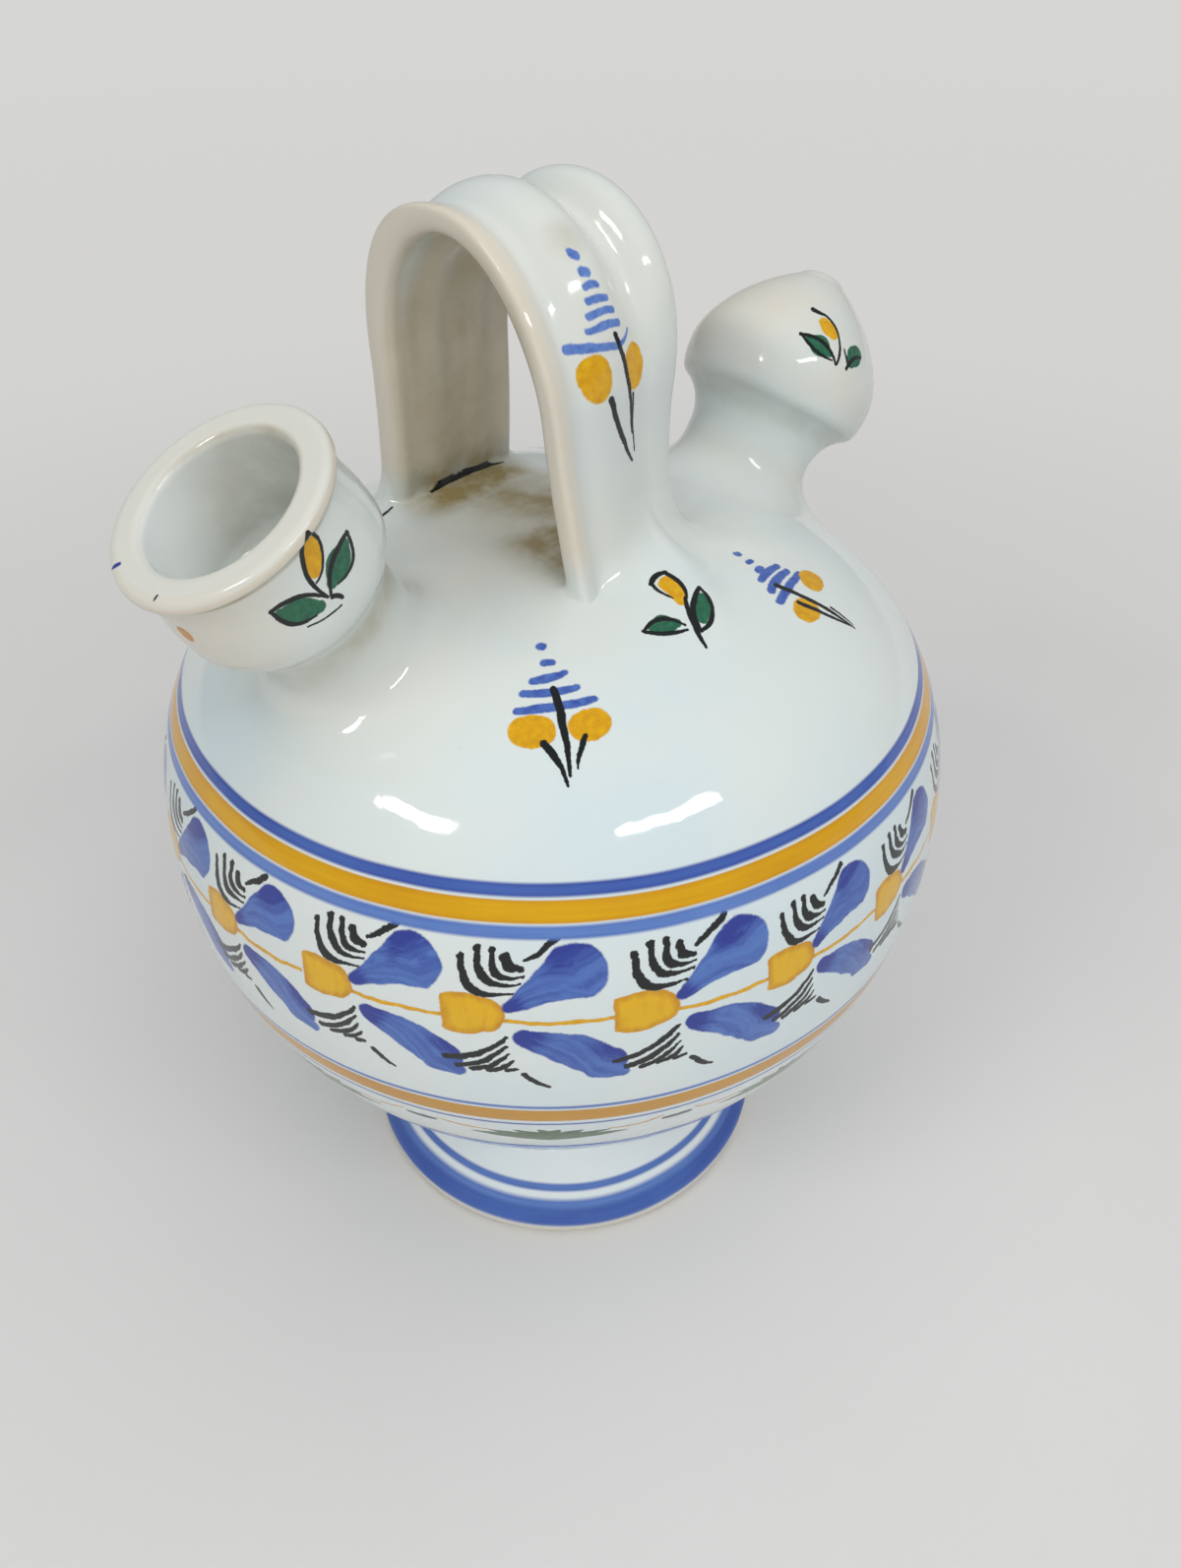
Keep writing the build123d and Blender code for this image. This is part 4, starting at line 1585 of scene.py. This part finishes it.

# %% [markdown]
# The glaze
#
# Tin glaze is an opaque white glass. It is bluish where it lies thick, warm where it runs thin over a rim
# and lets the clay through, and it picks up brown stains where hands and water go. Under the handle, in the
# mouth's bore and in the spout's waist the same brown is also painted shade, and on the mouth the same clay
# colour is also a painted reflection. The glaze is also painted whiter towards the foot, as painted light.
# Its skin is glossy but not flat: it has a fine ripple, a fine grain and brown flecks. One group makes the
# bare glaze, and each piece adds where its own rims thin out.


# %% Bare glaze group
glaze_cool, glaze_warm = (0.62, 0.72, 0.74, 1), (0.69, 0.74, 0.71, 1)
# The white of the painted light, laid on more towards the foot.
painted_light_white = (0.80, 0.85, 0.87, 1)
# Clay colour where glaze runs thin, also laid as painted reflection and painted shade; then the brown of
# stains, also laid as painted shade.
clay_through_and_painted_light = (0.68, 0.60, 0.48, 1)
brown_stain_and_shade = (0.30, 0.235, 0.10, 1)
fleck_brown = (0.25, 0.2, 0.14, 1)


def make_bare_glaze():
    tree, inputs, outputs = group(
        "bare_glaze",
        [
            ("Position", "Vector", (0, 0, 0)),
            ("Thin", "Float", 0.0),
            ("Stain", "Float", 0.0),
            ("Whiter", "Float", 0.0),
        ],
        [("Colour", "Color"), ("Roughness", "Float"), ("Height", "Float")],
    )
    position = inputs["Position"]
    cloud = noise(tree, position, 0.018, detail=3.0)
    colour = blend(tree, ramp(tree, cloud, 0.36, 0.62), glaze_cool, glaze_warm)
    # Painted light: the glaze is made whiter towards the foot.
    colour = blend(tree, inputs["Whiter"], colour, painted_light_white)
    # Clay colour where the glaze is thin; on the mouth it is also a painted reflection, on the handle also
    # painted shade.
    colour = blend(tree, inputs["Thin"], colour, clay_through_and_painted_light)
    mottle = noise(tree, position, 0.10, detail=4.0, roughness=0.6)
    mottle = ramp(tree, mottle, 0.28, 0.72, 0.45, 1.0)
    # Brown stain, which on the crown, the fittings and the handle is partly painted shade.
    stain_and_shade = calc(tree, "MULTIPLY", inputs["Stain"], mottle, clamp=True)
    colour = blend(tree, stain_and_shade, colour, brown_stain_and_shade)
    fleck = noise(tree, position, 0.55, detail=2.0, roughness=0.7)
    specks = ramp(tree, fleck, 0.765, 0.80)
    colour = blend(tree, calc(tree, "MULTIPLY", specks, 0.35), colour, fleck_brown)
    feed(tree, colour, outputs["Colour"])
    dull = noise(tree, position, 0.06, detail=3.0)
    feed(tree, ramp(tree, dull, 0.3, 0.7, 0.05, 0.11), outputs["Roughness"])
    ripple = noise(tree, position, 0.11, detail=2.0)
    orange_peel = noise(tree, position, 0.7, detail=1.0)
    height = calc(tree, "MULTIPLY_ADD", orange_peel, 0.05, ripple)
    feed(tree, height, outputs["Height"])
    return tree


bare_glaze = make_bare_glaze()
print("bare glaze group has", len(bare_glaze.nodes), "nodes")

# %% [markdown]
# Paints
#
# The painter has a handful of metal colours: cobalt blue, an orange, two greens and a black.
# Each lies dark where the brush pooled and pale where it ran dry, so a paint is a pair of
# colours and the stroke's tone mixes them. A layer goes over what is already there by its
# mask, in the order in which the painter worked.

# %% Paint colours
paints = {
    "blue": ((0.016, 0.036, 0.28, 1), (0.082, 0.175, 0.50, 1)),
    "pale": ((0.045, 0.11, 0.42, 1), (0.15, 0.27, 0.60, 1)),
    "orange": ((0.54, 0.22, 0.001, 1), (0.76, 0.43, 0.002, 1)),
    "deep_orange": ((0.44, 0.17, 0.0, 1), (0.64, 0.32, 0.0, 1)),
    "green": ((0.005, 0.045, 0.024, 1), (0.024, 0.17, 0.085, 1)),
    "olive": ((0.008, 0.035, 0.010, 1), (0.050, 0.13, 0.030, 1)),
    "black": ((0.004, 0.006, 0.007, 1), (0.004, 0.006, 0.007, 1)),
}


def lay(tree, colour, mask, paint, tone=None):
    """Lay a paint over a colour. Tone 0 is its pale side, 1 its dark one; no tone is dark."""
    dark, pale = paints[paint]
    if tone is not None:
        dark = blend(tree, tone, pale, dark)
    return blend(tree, mask, colour, dark)


def lay_motif(tree, made, colour, rows):
    """Lay a motif's masks over a colour: each row has an output's name and a paint."""
    for output, paint in rows:
        tone = None if paint == "black" else made["Tone"]
        colour = lay(tree, colour, made[output], paint, tone)
    return colour


print("paints:", ", ".join(paints))

# %% Band places
upper_bands = [
    ("blue", 171.9, 174.2, 0.35),
    ("pale", 164.3, 166.9, 0.45),
    ("orange", 167.3, 171.4, 0.20),
]
lower_bands = [
    ("pale", 115.8, 117.0, 0.35),
    ("deep_orange", 109.4, 115.0, 0.25),
    ("blue", 107.0, 107.9, 0.30),
    ("pale", 87.2, 88.4, 0.60),
]
foot_bands = [("pale", 12.7, 14.5, 0.45), ("pale", 5.5, 10.9, 0.70), ("blue", 5.1, 8.9, 1.10)]


def lay_bands(tree, position, colour, rows):
    """Lay bands over a colour: each row has a paint, two heights and an edge's softness."""
    for paint, low, high, softness in rows:
        made = use(tree, band, Position=position, Low=low, High=high, Softness=softness)
        colour = lay(tree, colour, made["Mask"], paint, made["Tone"])
    return colour


def lay_garland(tree, position, colour):
    made = use(tree, garland, Position=position)
    colour = lay(tree, colour, made["Orange"], "orange", made["Orange Tone"])
    colour = lay(tree, colour, made["Blue"], "blue", made["Blue Tone"])
    return lay(tree, colour, made["Black"], "black")


print("bands:", len(upper_bands), "above,", len(lower_bands), "below,", len(foot_bands), "on the foot")


# %% Laying sprigs and buds
def lay_sprig(tree, made, colour, blue="blue"):
    return lay_motif(tree, made, colour, [("Blue", blue), ("Orange", "orange"), ("Black", "black")])


def lay_bud(tree, made, colour):
    rows = [("Orange", "orange"), ("Green", "green"), ("Black", "black")]
    return lay_motif(tree, made, colour, rows)


print("sprigs are blue, orange and black; buds are orange, green and black")

# %% Material maker
glaze_ior = 1.52
ripple_strength = 0.25
ripple_depth = 0.0006
# Heights over which the painted light fades from the foot up to the crown.
painted_light_between = (20.0, 200.0)


def glazed(name, thin_stain_and_painted_light, paint):
    """A glazed material: bare glaze, then what paint() lays over it, under one clear gloss."""
    material = bpy.data.materials.new(name)
    material.use_nodes = True
    tree = material.node_tree
    shader = tree.nodes["Principled BSDF"]
    position = jug_position(tree)
    thin, stain_and_shade = thin_stain_and_painted_light(tree, position)
    height = parts_of(tree, position)[2]
    # Painted light: the glaze is laid whiter towards the foot and fades out towards the crown.
    painted_light = ramp(tree, height, *painted_light_between, 0.75, 0.0, smooth=False)
    base = use(tree, bare_glaze, Position=position, Thin=thin, Stain=stain_and_shade, Whiter=painted_light)
    feed(tree, paint(tree, position, base["Colour"]), shader.inputs["Base Color"])
    feed(tree, base["Roughness"], shader.inputs["Roughness"])
    shader.inputs["IOR"].default_value = glaze_ior
    bump = tree.nodes.new("ShaderNodeBump")
    bump.inputs["Strength"].default_value = ripple_strength
    bump.inputs["Distance"].default_value = ripple_depth
    feed(tree, base["Height"], bump.inputs["Height"])
    feed(tree, bump.outputs[0], shader.inputs["Normal"])
    return material


print("a glazed material has an IOR of", glaze_ior, "and a ripple of", ripple_depth / MM, "mm")

# %% [markdown]
# Wear and painted shade near the joints
#
# Brown stains gather where water and fingers go: on the crown between the handle's feet and along the
# joints. The brown there is also painted shade, where the handle's arch shades the crown. The mouth, the
# spout and the handle grow out of the crown, so each needs the crown's own wear and painted shade where it
# starts, or its edge would show as a line. That wear is one group, and the materials of the three fade from
# its values to their own.


# %% Wear helpers
def around(tree, value, middle, near, far, full):
    """Full where a value is within near of a middle, and nothing from far on."""
    distance = calc(tree, "ABSOLUTE", calc(tree, "SUBTRACT", value, middle))
    return ramp(tree, distance, near, far, full, 0.0)


def on_line(tree, position, line):
    """Height along a fitting's axis, distance from it, and the offset from its root."""
    root_point, axis = (Vector(values) for values in line)
    offset = vector_calc(tree, "SUBTRACT", position, root_point)
    rise = vector_calc(tree, "DOT_PRODUCT", offset, axis, out=1)
    aside = vector_calc(tree, "CROSS_PRODUCT", offset, axis)
    return rise, vector_calc(tree, "LENGTH", aside, out=1), offset


print("wear helpers are ready")


# %% Crown wear and painted shade group
def make_crown_wear_and_shade():
    """Brown stains, partly painted shade under the arch, between the handle's feet and behind and before
    them, and thin glaze on top.
    """
    tree, inputs, outputs = group(
        "crown_wear_and_shade", [("Position", "Vector", (0, 0, 0))], [("Thin", "Float"), ("Stain", "Float")]
    )
    x, y, z = parts_of(tree, inputs["Position"])
    left_edge = ramp(tree, x, -24.0, -6.0)
    wide = calc(tree, "MULTIPLY", left_edge, ramp(tree, x, 8.0, 22.0, 1.0, 0.0))
    # The brown here is dirt at the handle's feet and between them, and also painted shade under the handle's
    # arch.
    at_back_foot = around(tree, y, 27.0, 1.0, 13.0, 1.35)
    at_front_foot = around(tree, y, -12.0, 4.0, 17.0, 1.35)
    between = around(tree, y, 6.0, 10.0, 34.0, 1.05)
    between = calc(tree, "MULTIPLY", between, ramp(tree, x, -16.0, 8.0, 0.15, 1.0))
    stain_and_shade = calc(tree, "MAXIMUM", calc(tree, "MAXIMUM", at_back_foot, at_front_foot), between)
    stain_and_shade = calc(tree, "MULTIPLY", calc(tree, "MULTIPLY", stain_and_shade, wide), ramp(tree, z, 197.0, 203.0))
    feed(tree, stain_and_shade, outputs["Stain"])
    thin = calc(tree, "MULTIPLY", around(tree, y, 0.0, 10.0, 55.0, 0.28), ramp(tree, z, 182.0, 196.0))
    feed(tree, thin, outputs["Thin"])
    return tree


crown_wear_and_shade_group = make_crown_wear_and_shade()
print("crown wear group has", len(crown_wear_and_shade_group.nodes), "nodes")


# %% Using the crown's wear and painted shade
def no_wear(tree, position):
    return 0.0, 0.0


def crown_wear_and_shade(tree, position):
    made = use(tree, crown_wear_and_shade_group, Position=position)
    return made["Thin"], made["Stain"]


def grown_from_crown(tree, position, share, thin, stain_and_shade):
    """Wear and painted shade that are the crown's own at a joint and turn into the piece's own beyond it."""
    crown_thin, crown_stain_and_shade = crown_wear_and_shade(tree, position)
    return mix_values(tree, share, crown_thin, thin), mix_values(tree, share, crown_stain_and_shade, stain_and_shade)


print("the belly has no wear, the crown its own, and the three fittings share it at their joints")


# %% Joint strokes group
def make_joint_strokes():
    """Two dark strokes on the crown that follow the joint of the handle's back foot."""
    tree, inputs, outputs = group(
        "joint_strokes", [("Position", "Vector", (0, 0, 0))], [("Black", "Float")]
    )
    x, y, z = parts_of(tree, inputs["Position"])
    flat = vector_of(tree, x, y, 0.0)
    plan = use(tree, hand_wobble, Position=flat, Reach=0.6, Shake=0.3)["Position"]
    rows = [
        ((-10.0, 29.9), (13.0, 30.2), (0.45, 0.60, 0.25), 0.4),
        ((-24.0, 32.4), (-20.0, 32.9), (0.5, 0.1, 0.3), 0.0),
    ]
    on_crown = ramp(tree, z, 206.1, 206.5, 1.0, 0.0)
    mask = calc(tree, "MULTIPLY", inked(tree, strokes(tree, plan, rows), 0.2), on_crown)
    feed(tree, mask, outputs["Black"])
    return tree


joint_strokes = make_joint_strokes()
print("joint strokes group has", len(joint_strokes.nodes), "nodes")


# %% Marks that the crown and the handle share
def lay_joint_marks(tree, position, colour):
    """The strokes at the handle's back foot, and the bud that runs onto its front foot."""
    made = use(tree, joint_strokes, Position=position)
    colour = lay(tree, colour, made["Black"], "black")
    near = half_turned(tree, position)
    spot = laid(tree, near, *motif_places["root_bud"])
    return lay_bud(tree, use(tree, root_bud, Position=spot), colour)


print("the bud under the handle belongs to", root_bud.name)

# %% [markdown]
# The body's materials
#
# Every piece has the same glaze, but each is painted and worn in its own way. A shader can
# only hold so many strokes at once, so the crown and the belly wear two materials each. They
# meet where only bare glaze lies: the garland is in one, the bands and palmettes below it in
# the second, the garland and bands of the shoulder in the third, the sprigs in the last.


# %% Body materials
def paint_bowl(tree, position, colour):
    colour = lay_bands(tree, position, colour, lower_bands)
    rows = [("Orange", "deep_orange"), ("Green", "olive"), ("Black", "black")]
    return lay_motif(tree, use(tree, palmettes, Position=position), colour, rows)


def paint_shoulder(tree, position, colour):
    colour = lay_garland(tree, position, colour)
    return lay_bands(tree, position, colour, upper_bands)


def paint_crown(tree, position, colour):
    near = half_turned(tree, position)
    left = laid(tree, near, *motif_places["left_sprig"])
    right = laid(tree, near, *motif_places["right_sprig"])
    colour = lay_sprig(tree, use(tree, shoulder_sprig, Position=left), colour)
    colour = lay_sprig(tree, use(tree, right_sprig, Position=right), colour)
    return lay_joint_marks(tree, position, colour)


belly_glaze = glazed("belly_glaze", no_wear, lay_garland)
bowl_glaze = glazed("bowl_glaze", no_wear, paint_bowl)
shoulder_glaze = glazed("shoulder_glaze", no_wear, paint_shoulder)
crown_glaze = glazed("crown_glaze", crown_wear_and_shade, paint_crown)
print("the crown's material has", len(crown_glaze.node_tree.nodes), "nodes")


# %% Foot material
def foot_wear(tree, position):
    """The bearing edge is wiped, so the clay shows through there."""
    height = parts_of(tree, position)[2]
    return ramp(tree, height, 3.0, 6.0, 0.8, 0.0), 0.0


def paint_foot(tree, position, colour):
    return lay_bands(tree, position, colour, foot_bands)


foot_glaze = glazed("foot_glaze", foot_wear, paint_foot)
print("the foot's material has", len(foot_glaze.node_tree.nodes), "nodes")

# %% [markdown]
# The materials of the mouth and the spout
#
# A rim is where glaze runs thin, and the mouth's is cream with a brown line in the tuck below it. Inside the
# cup, painted light makes the side away from the spout white and painted shade makes the spout side brown,
# and a painted reflection of the floor lies in clay colour on the cup's lower left. On the spout the glaze
# is thin all over the bulb, with painted shade in the waist under it. All of it follows the fitting's own
# leaning axis, so the masks are made from the height along that axis and the distance from it.

# %% Mouth wear, painted shade and painted reflection
thin_cup = 0.06
edge_drop = 1.6
tuck_drop = 3.7


def mouth_wear_and_painted_light(tree, position):
    """Cream where the glaze runs thin on the lip, a brown line in the tuck below it, brown painted shade
    inside the bore on the spout side, and a painted reflection of the floor in clay colour on the cup's
    lower left.
    """
    rise, across, offset = on_line(tree, position, mouth_line)
    outside = ramp(tree, across, 20.0, 21.0)
    lip = ramp(tree, rise, mouth_length - 4.0, mouth_length - 1.0, 0.0, 0.42)
    edge = around(tree, rise, mouth_length - edge_drop, 0.2, 1.4, 0.9)
    worn_edge = calc(tree, "MULTIPLY", edge, ramp(tree, across, 21.8, 22.8))
    tuck = around(tree, rise, mouth_length - tuck_drop, 0.2, 0.9, 0.7)
    tuck = calc(tree, "MULTIPLY", tuck, outside)
    # Painted shade: brown inside the bore on the spout side.
    inside = ramp(tree, across, 16.6, 18.0, 1.0, 0.0)
    spout_side = ramp(tree, parts_of(tree, offset)[0], -32.0, -8.0, 0.0, 0.6)
    stain_and_shade = calc(tree, "MAXIMUM", tuck, calc(tree, "MULTIPLY", inside, spout_side))
    # Painted reflection: the floor's warm reflection on the cup's lower left, laid on as clay colour.
    painted_floor_reflection = ramp(tree, parts_of(tree, position)[0], -92.0, -72.0, 0.6, 0.0)
    cup = calc(tree, "MAXIMUM", calc(tree, "MULTIPLY", painted_floor_reflection, outside), thin_cup)
    thin = calc(tree, "MAXIMUM", calc(tree, "MAXIMUM", lip, worn_edge), cup)
    return grown_from_crown(tree, position, ramp(tree, rise, 6.0, 15.0), thin, stain_and_shade)


print("the brown line in the tuck runs", tuck_drop, "mm below the rim")

# %% Mouth material
# The white of the painted light inside the cup.
bore_painted_light = (0.90, 0.94, 0.93, 1)


def paint_light_in_bore(tree, rise, across, offset, colour):
    """Painted light inside the cup: whiter, most on the side away from the spout."""
    cup = calc(tree, "MULTIPLY", ramp(tree, across, 16.0, 16.8, 1.0, 0.0), ramp(tree, rise, 20.0, 22.0))
    bore = calc(tree, "MAXIMUM", cup, ramp(tree, across, 12.5, 14.0, 1.0, 0.0))
    side = ramp(tree, parts_of(tree, offset)[0], -30.0, -8.0, 0.95, 0.30)
    return blend(tree, calc(tree, "MULTIPLY", bore, side), colour, bore_painted_light)


def lay_rim_marks(tree, position, rise, across, colour):
    """A blue tick and a black dot on the rim, and an orange touch on the cup's side."""
    root_point, axis = (Vector(values) for values in mouth_line)
    rim_up = Vector((cos(radians(mouth_tilt)), 0, sin(radians(mouth_tilt))))
    spot = laid(tree, position, root_point + axis * mouth_length, rim_up, axis)
    flat = vector_calc(tree, "MULTIPLY", spot, (1.0, 1.0, 0.0))
    outside = calc(tree, "MULTIPLY", ramp(tree, across, 20.0, 20.5), ramp(tree, rise, 43.4, 43.8))
    tick = strokes(tree, flat, [((-8.9, -20.4), (-7.9, -19.0), (0.3, 0.15, 0.45), 0.0)])
    dot = strokes(tree, flat, [((6.2, -19.6), (6.4, -20.6), (0.22, 0.05, 0.2), 0.0)])
    colour = lay(tree, colour, calc(tree, "MULTIPLY", inked(tree, tick, 0.15), outside), "blue")
    colour = lay(tree, colour, calc(tree, "MULTIPLY", inked(tree, dot, 0.12), outside), "black")
    squeezed = vector_calc(tree, "MULTIPLY", position, (1.0, 1.3, 1.0))
    touch = vector_calc(tree, "DISTANCE", squeezed, (-93.6, -6.4, 217.2), out=1)
    return lay(tree, colour, ramp(tree, touch, 2.1, 2.5, 1.0, 0.0), "orange")


def paint_mouth(tree, position, colour):
    rise, across, offset = on_line(tree, position, mouth_line)
    colour = paint_light_in_bore(tree, rise, across, offset, colour)
    spot = laid(tree, position, *motif_places["mouth_bud"])
    painted = lay_bud(tree, use(tree, mouth_bud, Position=spot), colour)
    colour = blend(tree, ramp(tree, across, 17.4, 18.0), colour, painted)
    return lay_rim_marks(tree, position, rise, across, colour)


mouth_glaze = glazed("mouth_glaze", mouth_wear_and_painted_light, paint_mouth)
print("the mouth's material has", len(mouth_glaze.node_tree.nodes), "nodes")


# %% Spout material
def spout_wear_and_shade(tree, position):
    """The spout's glaze is thin all over its bulb, with brown painted shade in the waist below it."""
    rise = on_line(tree, position, spout_line)[0]
    patch = ramp(tree, noise(tree, position, 0.035, detail=2.0), 0.35, 0.65, 0.35, 0.6)
    thin = calc(tree, "MULTIPLY", patch, ramp(tree, rise, 18.0, 26.0, 0.1, 1.0))
    # Painted shade: brown in the waist under the bulb's sill.
    waist = around(tree, rise, spout_sill_height - 3.5, 0.5, 5.0, 0.28)
    return grown_from_crown(tree, position, ramp(tree, rise, 4.0, 12.0), thin, waist)


def paint_spout(tree, position, colour):
    colour = lay_bands(tree, position, colour, upper_bands)
    spot = laid(tree, position, *motif_places["spout_bud"])
    return lay_bud(tree, use(tree, spout_bud, Position=spot), colour)


spout_glaze = glazed("spout_glaze", spout_wear_and_shade, paint_spout)
print("the spout's material has", len(spout_glaze.node_tree.nodes), "nodes")

# %% [markdown]
# The handle's material
#
# The handle's outer side is painted and its inner side is brown from hands and from painted shade under the
# arch. Both lie close together on a thin strap, so a mask has to tell them apart. It follows the arch: a
# point's depth is its distance from the arch's middle as a share of the arch itself, straight legs and
# splayed feet and all.


# %% Strap depth
def strap_depth(tree, position):
    """How far out in the strap's arch a point lies: about 0.85 inside and 1.15 outside."""
    x, y, z = parts_of(tree, position)
    sideways = calc(tree, "SUBTRACT", y, arch_offset)
    drop = calc(tree, "MAXIMUM", calc(tree, "SUBTRACT", arch_spring_height, z), 0.0)
    drop = calc(tree, "MULTIPLY", drop, 1.0 / (arch_spring_height - crown_height + trim_depth))
    in_front = calc(tree, "LESS_THAN", sideways, 0.0)
    splay = mix_values(tree, in_front, back_foot_splay, front_foot_splay)
    sag = calc(tree, "MULTIPLY", calc(tree, "MULTIPLY", drop, drop), splay)
    level_share = calc(tree, "SUBTRACT", calc(tree, "ABSOLUTE", sideways), sag)
    level_share = calc(tree, "MULTIPLY", level_share, 1.0 / arch_half_span)
    above = calc(tree, "MAXIMUM", calc(tree, "SUBTRACT", z, arch_spring_height), 0.0)
    above = calc(tree, "MULTIPLY", above, 1.0 / arch_rise)
    return vector_calc(tree, "LENGTH", vector_of(tree, level_share, above, 0.0), out=1)


print("the strap is", round(strap_inner_drop / arch_half_span, 2), "of the arch deep on its inner side")

# %% Handle material
worn_spot = (-4.6, -13.0, 270.0)


def handle_wear_and_shade(tree, position):
    """Thin cream glaze on the near rim and the ribs; on the inner face brown dirt and painted shade under
    the arch.
    """
    x, y, z = parts_of(tree, position)
    # The inner face gets clay colour and brown that stand for dirt from hands and for painted shade under
    # the arch.
    inner = ramp(tree, strap_depth(tree, position), 0.87, 0.98, 1.0, 0.0)
    rim = ramp(tree, x, -17.5, -11.5, 0.85, 0.26)
    from_spot = vector_calc(tree, "DISTANCE", position, worn_spot, out=1)
    worn = ramp(tree, from_spot, 1.0, 7.0, 0.40, 0.0)
    flutes = vector_calc(tree, "MULTIPLY", position, (0.13, 0.015, 0.015))
    flutes = ramp(tree, noise(tree, flutes, 1.0, detail=1.0), 0.3, 0.7, 0.22, 0.55)
    stain_and_shade = calc(tree, "MAXIMUM", calc(tree, "MULTIPLY", inner, flutes), worn)
    thin = calc(tree, "MAXIMUM", rim, calc(tree, "MULTIPLY", inner, 0.9))
    return grown_from_crown(tree, position, ramp(tree, z, 205.0, 214.0), thin, stain_and_shade)


def paint_handle(tree, position, colour):
    spot = laid(tree, position, *motif_places["handle_sprig"])
    near_face = vector_calc(tree, "MULTIPLY", spot, (1.0, 1.0, 0.6))
    painted = lay_sprig(tree, use(tree, handle_sprig, Position=near_face), colour, "pale")
    colour = blend(tree, ramp(tree, strap_depth(tree, position), 0.94, 0.98), colour, painted)
    return lay_joint_marks(tree, position, colour)


handle_glaze = glazed("handle_glaze", handle_wear_and_shade, paint_handle)
print("the handle's material has", len(handle_glaze.node_tree.nodes), "nodes")

# %% [markdown]
# Hand the pieces over
#
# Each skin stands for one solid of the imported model, rides on the jug's one body and names
# the material slot it takes its finish from. The crown and the belly wear two materials each,
# so their faces are told by height which of the two is theirs.

# %% Pieces ride, replace and take their slot
# Faces below these heights wear the second material of their piece.
second_below = ((crown, 178.0), (belly, 119.3))
pieces = {
    foot: ("foot_ring", [foot_glaze]),
    belly: ("belly_bowl", [belly_glaze, bowl_glaze]),
    crown: ("shoulder_crown", [crown_glaze, shoulder_glaze]),
    mouth: ("filling_mouth", [mouth_glaze]),
    spout: ("drinking_spout", [spout_glaze]),
    handle: ("strap_handle", [handle_glaze]),
}
for piece, (node, materials) in pieces.items():
    piece.data.materials.clear()
    for material in materials:
        piece.data.materials.append(material)
    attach(piece, "root")
    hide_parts(node)

for piece, border in second_below:
    for face in piece.data.polygons:
        face.material_index = int(face.center.z < border * MM)
print("pieces:", ", ".join(f"{piece.name} for {node}" for piece, (node, _) in pieces.items()))
